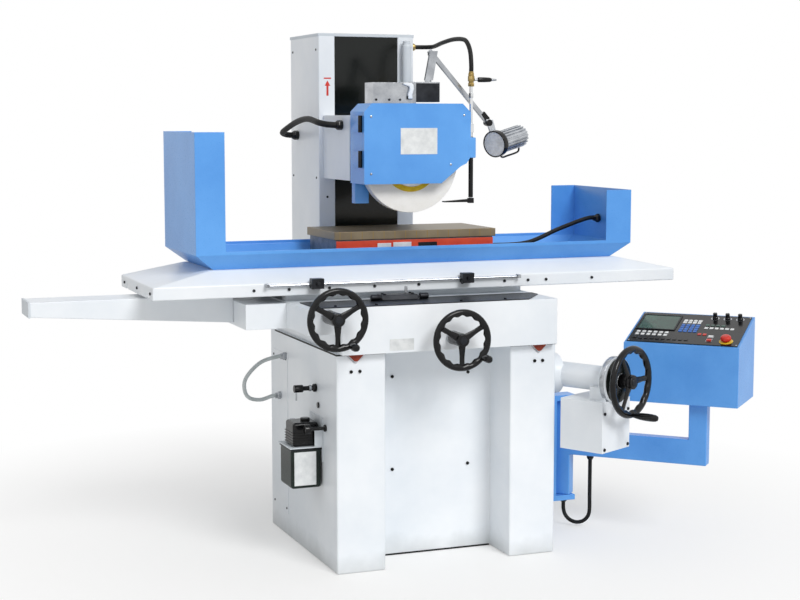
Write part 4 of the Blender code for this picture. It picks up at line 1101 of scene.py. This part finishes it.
# The valve is a stack of two six-sided nuts, two necks and a round barrel.
valve_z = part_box("coolant_valve")[0].z
mesh = bmesh.new()
for radius, low_z, high_z, sides in (
    (0.0118, 0.0, 0.012, 6), (0.0090, 0.012, 0.018, 24), (0.0118, 0.018, 0.036, 24),
    (0.0112, 0.036, 0.046, 6), (0.0088, 0.046, 0.052, 24),
):
    add_disc(mesh, aim(PIPE), radius, valve_z + low_z, valve_z + high_z, sides, 0.001)
piece("brass_valve_body", mesh, brass, "head", stands_for=("coolant_valve",))
tap = at((PIPE.x, PIPE.y, 1.624), to_right)
mesh = bmesh.new()
add_disc(mesh, tap, 0.004, 0.0125, 0.026, 20)
add_turned(mesh, rounded([(AXIS, 0.074), (0.0052, 0.074), (0.0030, 0.0972), (AXIS, 0.0972)]),
           tap, 20)
piece("tap_spindle", mesh, bright_steel, "coolant_tap")
mesh = bmesh.new()
add_turned(mesh, rounded([(AXIS, 0.0265), (0.0089, 0.0265), (0.0089, 0.050), (0.0078, 0.072),
                          (0.0055, 0.078), (AXIS, 0.078)], 0.002), tap, 24)
piece("tap_handle", mesh, black_moulding, "coolant_tap",
      stands_for=("coolant_tap",))
# The hose ends in a brass ferrule on the pipe, and the conduit in two black glands.
hose_end = at((0.1873, FRONT + 0.82, 1.755), to_right)
mesh = bmesh.new()
add_turned(mesh, rounded([(0.0085, 0.0), (0.014, 0.0), (0.014, 0.012), (0.0105, 0.018),
                          (0.0085, 0.018)], 0.001), hose_end, 24, ring=True)
piece("hose_ferrule", mesh, brass, "head")
mesh = bmesh.new()
gland = rounded([(0.0115, 0.0), (0.0175, 0.0), (0.0175, 0.016), (0.0130, 0.024),
                 (0.0115, 0.024)], 0.002)
for x, y, z in ((-0.1703, 0.58, 1.465), (-0.1873, 1.04, 1.425)):
    add_turned(mesh, gland, at((x, FRONT + y, z), to_left), 8, ring=True)
piece("conduit_glands", mesh, black_moulding, "head")

# %% Dresser on the guard's top
dress_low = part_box("dresser_body")[0]
plate("dresser_slide", (0.018, dress_low.y + 0.0148, dress_low.z + 0.005),
      (0.1155, dress_low.y + 0.0805, 1.612), dark_steel, "head", 0.002)
places = [at((x, dress_low.y, 1.553), to_front) for x in (-0.128, -0.080, -0.040)]
repeat("dresser_screws", SCREW, places, dark_steel, "head", 0.8)
lever_low, lever_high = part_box("dresser_lever")
plate("dresser_lever_foot", (lever_low.x - 0.001, lever_low.y - 0.001, lever_low.z - 0.001),
      (lever_high.x + 0.0005, lever_high.y, lever_low.z + 0.012), black_moulding,
      "dresser_lever", 0.0015)
hang = Vector(joints["dresser_lever_swing"]["pos_m"])
curl = [(-0.026, 0.006), (-0.022, 0.012), (0.004, 0.012), (0.012, 0.004), (0.013, -0.010),
        (0.007, -0.030), (0.008, -0.044), (-0.008, -0.044), (-0.008, -0.028), (-0.002, -0.010),
        (-0.003, -0.002), (-0.012, 0.001)]
mesh = bmesh.new()
add_prism(mesh, curl, (-0.0105, -0.0004), Matrix.Translation(hang))
piece("dresser_lever_curl", mesh, white_enamel, "dresser_lever", 0.002, 3,
      ("dresser_lever",))

# %% [markdown]
# ## Work lamp
# A machine lamp is a turned alloy body with cooling ribs, a black rim round its reflector
# and a bent wire handle. The ribs repeat round the body's axis, so the same tree that
# copies the screws copies one long rib. The lamp hangs on a flat ear at the end of its
# upper arm, and a small knob clamps each pivot.

# %% Lamp head and knobs
LAMP_AIM = Vector((-0.852, -0.493, -0.18)).normalized()
LAMP_PIVOT = Vector(joints["lamp_tilt"]["pos_m"])
lamp = aim(LAMP_PIVOT + Vector((0.055, -0.030, -0.062)), LAMP_AIM)
mesh = bmesh.new()
add_turned(mesh, rounded([(AXIS, -0.099), (0.029, -0.099), (0.0335, -0.088), (0.0335, 0.044),
                          (0.039, 0.048), (0.039, 0.056), (AXIS, 0.056)], 0.002), lamp, 56)
ear = [(-0.013, 0.012), (0.013, 0.012), (0.029, -0.040), (0.005, -0.040)]
add_prism(mesh, ear, (-0.0095, -0.0002), Matrix.Translation(LAMP_PIVOT))
piece("lamp_body", mesh, lamp_alloy, "lamp_head", 0.0008, 2, ("lamp_head",))


def rib(mesh):
    """One cooling rib, sunk into the body and standing about 6 mm out of it."""
    add_box(mesh, (0.031, -0.0022, -0.086), (0.0396, 0.0022, 0.042))


RIBS = 20
ribs = [lamp @ Matrix.Rotation(2 * pi * step / RIBS, 4, "Z") for step in range(RIBS)]
repeat("lamp_ribs", item_mesh("lamp_rib", rib), ribs, lamp_alloy, "lamp_head")
mesh = bmesh.new()
add_turned(mesh, rounded([(0.0385, 0.047), (0.0474, 0.053), (0.0474, 0.0745), (0.043, 0.0748),
                          (0.043, 0.057), (0.0385, 0.054)], 0.0015), lamp, 64, ring=True)
piece("lamp_rim", mesh, black_moulding, "lamp_head")
mesh = bmesh.new()
bowl = [(AXIS, 0.050), (0.014, 0.052), (0.028, 0.057), (0.038, 0.064), (0.0432, 0.0715),
        (0.0432, 0.0722), (AXIS, 0.0695)]
add_turned(mesh, bowl, lamp, 48)
piece("lamp_reflector", mesh, painted_reflector_white, "lamp_head")

# %% Bail, knobs and knuckle
# The bail is a wire bent into a loop under the body. Its rings follow an even route.
mesh = bmesh.new()
WIRE, WIRE_SIDES = 0.0035, 12
side_on = LAMP_AIM.cross(Vector((0, 0, 1))).normalized()
down = LAMP_AIM.cross(side_on).normalized()
if down.z > 0:
    down = -down
lamp_centre = lamp.to_translation()
bend = [(-0.070, 0.030), (-0.074, 0.046), (-0.060, 0.055), (0.0, 0.0555), (0.030, 0.055),
        (0.043, 0.046), (0.041, 0.036)]
bend = [lamp_centre + LAMP_AIM * along + down * drop for along, drop in bend]
bail = smooth_route(bend, 0.004)
rings = []
for before, here, after in zip([bail[0], *bail], bail, [*bail[1:], bail[-1]]):
    turn = aim(here, (after - before).normalized())
    rings.append([turn @ Vector((WIRE * cos(a), WIRE * sin(a), 0))
                  for a in (2 * pi * part / WIRE_SIDES for part in range(WIRE_SIDES))])
add_rings(mesh, rings)
piece("lamp_bail", mesh, black_moulding, "lamp_head")
ELBOW = Vector(joints["lamp_elbow"]["pos_m"])
outline = rounded([(AXIS, 0), (0.008, 0), (0.011, 0.004), (0.011, 0.012), (AXIS, 0.012)], 0.002)
for name, centre in (("lamp_tilt_knob", LAMP_PIVOT), ("lamp_elbow_knob", ELBOW)):
    mesh = bmesh.new()
    add_turned(mesh, outline, at(centre + Vector((0, 0.012, 0)), to_rear), 10)
    piece(name, mesh, black_moulding, "lamp_upper_arm")
mesh = bmesh.new()
add_disc(mesh, at(LAMP_PIVOT, to_rear), 0.0125, -0.010, 0.0128, 28, 0.002)
add_prism(mesh, [(-0.011, 0.004), (0.006, 0.016), (-0.016, 0.040), (-0.028, 0.030)],
          (-0.0008, 0.0128), Matrix.Translation(LAMP_PIVOT))
piece("lamp_knuckle", mesh, black_moulding, "lamp_upper_arm", 0.001)

# %% [markdown]
# ## Console
# The swinging console has a black sloping panel. On it are a tinted display window, rows
# of small keys, a keypad, two push buttons, an emergency stop on a yellow collar and
# selector knobs along the back edge. The keys are copies of one square cap.

# %% Panel frame, window and key rows
PANEL_PLACE = Matrix.Translation((0.72216, -0.46418, 0.70031)) @ Matrix((
    (0.70711, 0.67736, -0.20295, 0), (-0.70711, 0.67736, -0.20295, 0),
    (0, 0.28702, 0.95792, 0), (0, 0, 0, 1)))
WIDE, DEEP, TOP = 0.410, 0.2787, 0.003       # the panel's width, depth and thickness


def on_panel(x, y, z=TOP):
    """A place on the sloping panel, measured from its near left corner."""
    return PANEL_PLACE @ Matrix.Translation((x, y, z))


mesh = bmesh.new()
WINDOW, BEZEL = (0.020, 0.120, 0.150, DEEP - 0.040), 0.006
left_x, near_y, right_x, far_y = WINDOW
add_box(mesh, (left_x, near_y, TOP), (right_x, far_y, TOP + 0.0016), PANEL_PLACE)
piece("display_window", mesh, window, "console", 0.0008)
mesh = bmesh.new()
add_frame(mesh, (left_x - BEZEL, near_y - BEZEL, right_x + BEZEL, far_y + BEZEL), WINDOW,
          TOP - 0.0005, TOP + 0.003, PANEL_PLACE)
piece("display_bezel", mesh, dark_steel, "console", 0.0006)
KEY_SIZE = 0.013
# Each block of keys: name, finish, its first key's place, the step, columns and rows
KEY_BLOCKS = (
    ("white_keys", white_key, (0.030, 0.094), 0.0205, 6, 1),
    ("lower_keys", white_key, (0.030, 0.072), 0.0205, 6, 1),
    ("blue_keys", blue_key, (0.176, 0.115), 0.0175, 4, 4),
    ("entry_keys", white_key, (0.176, 0.190), 0.0175, 4, 2),
    ("red_keys", red_moulding, (0.250, 0.094), 0.0185, 2, 1),
    ("low_row_keys", black_moulding, (0.030, 0.040), 0.0205, 10, 1),
    ("right_keys", white_key, (0.262, 0.150), 0.0185, 6, 1),
    ("green_keys", window, (0.262, 0.175), 0.0185, 4, 1),
)
for name, finish, (first_x, first_y), pitch, columns, rows in KEY_BLOCKS:
    spots = [on_panel(first_x + pitch * column, first_y + pitch * row)
             for column in range(columns) for row in range(rows)]
    repeat(name, KEY, spots, finish, "console", KEY_SIZE)

# %% Emergency stop, knobs and panel screws
mesh = bmesh.new()
estop = on_panel(WIDE - 0.055, 0.045, 0)
add_sleeve(mesh, estop, 0.0115, 0.0245, TOP, TOP + 0.0016, 48, 0.0006)
piece("estop_collar", mesh, yellow_collar, "console")
mesh = bmesh.new()
add_turned(mesh, rounded([(AXIS, 0.0012), (0.0088, 0.0012), (0.0088, 0.0092), (0.0186, 0.0104),
                          (0.0189, 0.0170), (0.0172, 0.0225), (0.0120, 0.0262), (AXIS, 0.0269)],
                         0.0012), estop, 48)
piece("estop_mushroom", mesh, red_moulding, "estop_button",
      stands_for=("estop_button",))
for index in range(3):
    name = f"selector_knob_{index + 1}"
    knob = on_panel(WIDE - 0.045 - 0.045 * index, DEEP - 0.040, 0)
    mesh = bmesh.new()
    add_turned(mesh, rounded([(AXIS, 0.0034), (0.0099, 0.0034), (0.0099, 0.009), (0.0080, 0.011),
                              (0.0075, 0.0245), (AXIS, 0.0249)], 0.001), knob, 32)
    piece(name + "_turned", mesh, black_moulding, name, stands_for=(name,))
    mesh = bmesh.new()
    add_box(mesh, (-0.0007, 0.0015, 0.0240), (0.0007, 0.0074, 0.0252), knob)
    piece(name + "_pointer", mesh, white_key, name)
    mesh = bmesh.new()
    add_sleeve(mesh, knob, 0.0108, 0.0150, TOP - 0.0002, TOP + 0.0006, 36, 0)
    piece(name + "_ring", mesh, bright_steel, "console")
spots = [(x, y) for x in (0.014, WIDE - 0.014) for y in (0.018, DEEP - 0.020)]
repeat("panel_screws", BUTTON_SCREW, [on_panel(x, y) for x, y in spots], bright_steel,
       "console", 0.8)
mesh = bmesh.new()
BUTTON_X, HALF, INNER_X, INNER_Y = WIDE - 0.115, 0.0105, 0.0092, 0.0075
for y in (0.075, 0.045):
    add_frame(mesh, (BUTTON_X - HALF, y - HALF, BUTTON_X + HALF, y + HALF),
              (BUTTON_X - INNER_X, y - INNER_Y, BUTTON_X + INNER_X, y + INNER_Y),
              TOP - 0.0004, TOP + 0.0012, PANEL_PLACE)
piece("button_frames", mesh, bright_steel, "console")

# %% Console post caps, bracket screws and cable glands
mesh = bmesh.new()
for low_z, high_z in ((0.1006, 0.1196), (0.4704, 0.4896)):
    add_disc(mesh, aim(POST), 0.024, low_z, high_z, 32)
piece("pivot_bosses", mesh, dark_steel, "base")
bracket_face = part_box("console_bracket")[0].y
places = [at((0.415, bracket_face, z), to_front) for z in (0.16, 0.43)]
repeat("bracket_screws", SCREW, places, bright_steel, "base", 1.2)
mesh = bmesh.new()
for end, body_end, nose_end in ((POST + Vector((0, 0, 0.0997)), 0.006, 0.012),
                                (CONSOLE_PLACE @ Vector((0.100, 0, 0.2697)), 0.008, 0.016)):
    add_turned(mesh, rounded([(0.0075, 0), (0.0135, 0), (0.0135, body_end), (0.0095, nose_end),
                              (0.0075, nose_end)], 0.001), at(end, DOWN), 8, ring=True)
piece("cable_glands", mesh, black_moulding, "console")

# %% [markdown]
# ## Blank plates
# Three thin aluminium plates stand on the guard's door, the saddle and the oil tank.
# Nothing is written on them.

# %% Blank plates
for name, body, low, high in (
    ("door_plate", "guard_door", (-0.057, door_low.y - 0.0008, 1.366),
     (0.079, door_low.y + 0.0005, 1.456)),
    ("saddle_plate", "saddle", (-0.222, saddle_low.y - 0.0008, 0.738),
     (-0.137, saddle_low.y + 0.0005, 0.776)),
    ("tank_plate", "base", (base_low.x - 0.100, -0.4388, 0.275),
     (base_low.x - 0.024, -0.4375, 0.388)),
):
    plate(name, low, high, bare_plate, body, 0.0004)

# %% [markdown]
# ## Way oil unit and valves
# The oil unit has a dark green tank on a grey shelf, with a ribbed black pump head above.
# The speed valve near it is a black stem with a steel collar and a small cross pin, and
# two round knobs stand out on stems at the sides of the pump head.

# %% Oil unit
wall = base_low.x - 0.0003
RIB_FOOT, RIB_STEP, RIB_HIGH = 0.412, 0.009, 0.0035
plate("tank_body", (wall - 0.110, -0.438, 0.264), (wall - 0.004, -0.310, 0.399), tank_enamel,
      "base", 0.010, 3, ("oil_tank",))
mesh = bmesh.new()
add_box(mesh, (wall - 0.115, -0.442, 0.4002), (wall - 0.003, -0.305, 0.404))
add_box(mesh, (wall - 0.003, -0.442, 0.350), (wall, -0.305, 0.500))
add_box(mesh, (wall - 0.030, -0.442, 0.404), (wall - 0.003, -0.440, 0.470))
add_box(mesh, (wall - 0.030, -0.307, 0.404), (wall - 0.003, -0.305, 0.470))
piece("pump_shelf", mesh, grey_enamel, "base", 0.0008)
plate("tank_bands", (wall - 0.1112, -0.4396, 0.393), (wall - 0.004, -0.3088, 0.398), dark_steel,
      "base", 0.0008)
pump_low, pump_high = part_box("oil_pump")
mesh = bmesh.new()
for step in range(5):
    z = RIB_FOOT + RIB_STEP * step
    add_box(mesh, (pump_low.x - 0.0016, pump_low.y - 0.0016, z),
            (pump_high.x + 0.0010, pump_high.y + 0.0016, z + RIB_HIGH))
add_disc(mesh, at((wall - 0.045, -0.385, 0.484), UP), 0.016, 0, 0.010, 24, 0.002)
add_box(mesh, (wall - 0.090, -0.340, 0.404), (wall - 0.020, -0.312, 0.450))
piece("pump_ribs", mesh, black_moulding, "base", 0.0008)
mesh = bmesh.new()
add_turned(mesh, rounded([(AXIS, 0), (0.006, 0), (0.006, 0.018), (0.009, 0.020),
                          (0.009, 0.032), (AXIS, 0.032)], 0.0015),
           at((wall - 0.070, -0.325, 0.450), UP), 20)
piece("pump_filler", mesh, bright_steel, "base")

# %% Speed valve, side knobs and hose fittings
valve = at((wall, -0.370, 0.590), to_left)
mesh = bmesh.new()
add_turned(mesh, rounded([(AXIS, 0), (0.0138, 0), (0.0138, 0.010), (0.0080, 0.014),
                          (0.0078, 0.045), (0.0128, 0.048), (0.0128, 0.0778), (AXIS, 0.0778)],
                         0.0015), valve, 32)
piece("speed_valve_knob", mesh, black_moulding, "speed_valve",
      stands_for=("table_speed_valve",))
mesh = bmesh.new()
add_disc(mesh, at((wall - 0.070, -0.370, 0.590), DOWN), 0.0028, 0, 0.0395, 16, 0)
add_sleeve(mesh, valve, 0.0080, 0.0105, 0.018, 0.026, 32, 0.001)
piece("speed_valve_pin", mesh, bright_steel, "speed_valve")
mesh = bmesh.new()
add_disc(mesh, at((wall, -0.395, 0.535), to_left), 0.010, 0, 0.004, 24, 0.001)
knob = rounded([(AXIS, 0), (0.012, 0), (0.012, 0.006), (0.006, 0.008), (0.006, 0.052),
                (0.016, 0.056), (0.016, 0.074), (AXIS, 0.074)])
for y, z in ((-0.300, 0.452), (-0.470, 0.470)):
    add_turned(mesh, knob, at((wall, y, z), to_left), 28)
piece("side_valves", mesh, black_moulding, "base", 0.0012)
mesh = bmesh.new()
fitting = rounded([(0.0075, 0), (0.0135, 0), (0.0135, 0.012), (0.0105, 0.014),
                   (0.0105, 0.022), (0.0075, 0.022)], 0.001)
for y, z in ((0.545, 0.651), (0.610, 0.500)):
    add_turned(mesh, fitting, at((wall, FRONT + y, z), to_left), 6, ring=True)
piece("hose_fittings", mesh, bright_steel, "base")

# %% [markdown]
# ## Floor, backdrop and light
# A plain pale floor and a white surround, lit by one broad key light from the front and a
# little to the right, a much weaker fill from the left and an even white sky. The sky is
# plain white to the camera and in reflections, and the floor to the camera alone, so that
# no extra light falls on the machine. Near the machine the floor keeps part of its own
# shading, and with it the machine's shadow.

# %% Floor
REACH, FLOOR_Z = 40.0, -0.0005
floor_mesh = bmesh.new()
floor_mesh.faces.new([floor_mesh.verts.new((x, y, FLOOR_Z)) for x, y in (
    (-REACH, -REACH), (REACH, -REACH), (REACH, REACH), (-REACH, REACH))])
floor_data = bpy.data.meshes.new("studio_floor")
floor_mesh.to_mesh(floor_data)
floor_mesh.free()
floor = add_object("studio_floor", floor_data)
# Up to SHADED_TO metres out, WHITE_SHARE of what the camera sees is plain white; from
# WHITE_FROM metres on, all of it is.
SHADED_TO, WHITE_FROM, WHITE_SHARE = 0.5, 2.2, 0.35
made, tree, shader, where = start_finish("matt_white_floor")
shader.inputs["Base Color"].default_value = linear("#F6F6F5")
shader.inputs["Roughness"].default_value = 0.95
shader.inputs["Specular IOR Level"].default_value = 0.1
glow = add_node(tree, "ShaderNodeEmission", {"Color": (1, 1, 1, 1), "Strength": 1.0})
distance = add_node(tree, "ShaderNodeVectorMath", {0: where}, operation="LENGTH")
fade = add_node(tree, "ShaderNodeMapRange", {
    "Value": distance.outputs["Value"], "From Min": SHADED_TO, "From Max": WHITE_FROM,
    "To Min": WHITE_SHARE, "To Max": 1.0}, clamp=True)
ray = add_node(tree, "ShaderNodeLightPath")
shown = add_node(tree, "ShaderNodeMath", {0: fade.outputs[0], 1: ray.outputs["Is Camera Ray"]},
                 operation="MULTIPLY")
mixed = add_node(tree, "ShaderNodeMixShader", {0: shown.outputs[0], 1: shader.outputs[0],
                                               2: glow.outputs[0]})
output = next(n for n in tree.nodes if n.type == "OUTPUT_MATERIAL")
tree.links.new(mixed.outputs[0], output.inputs["Surface"])
floor_data.materials.append(made)
print("floor", 2 * REACH, "m wide")

# %% World and lamps
SKY = 0.47
LAMPS = (       # name, turn in degrees, strength, and the width of the sun in degrees
    ("key_light", (52, 0, 12), 1.80, 24),
    ("fill_light", (62, 0, -58), 0.10, 50),
)
world = bpy.data.worlds.new("studio")
bpy.context.scene.world = world
world.use_nodes = True
tree = world.node_tree
sky = tree.nodes["Background"]
sky.inputs["Color"].default_value = (1, 1, 1, 1)
ray = add_node(tree, "ShaderNodeLightPath")
seen = add_node(tree, "ShaderNodeMath", {0: ray.outputs["Is Camera Ray"],
                                         1: ray.outputs["Is Transmission Ray"]},
                operation="MAXIMUM")
seen = add_node(tree, "ShaderNodeMath", {0: seen.outputs[0], 1: ray.outputs["Is Glossy Ray"]},
                operation="MAXIMUM")
level = add_node(tree, "ShaderNodeMapRange", {"Value": seen.outputs[0], "To Min": SKY,
                                              "To Max": 1.0})
tree.links.new(level.outputs[0], sky.inputs["Strength"])
for name, angles, strength, spread in LAMPS:
    light = bpy.data.lights.new(name, "SUN")
    light.energy = strength
    light.angle = radians(spread)
    add_object(name, light).rotation_euler = [radians(a) for a in angles]
    print(name, "strength", strength)
bpy.context.scene.view_settings.view_transform = "Standard"
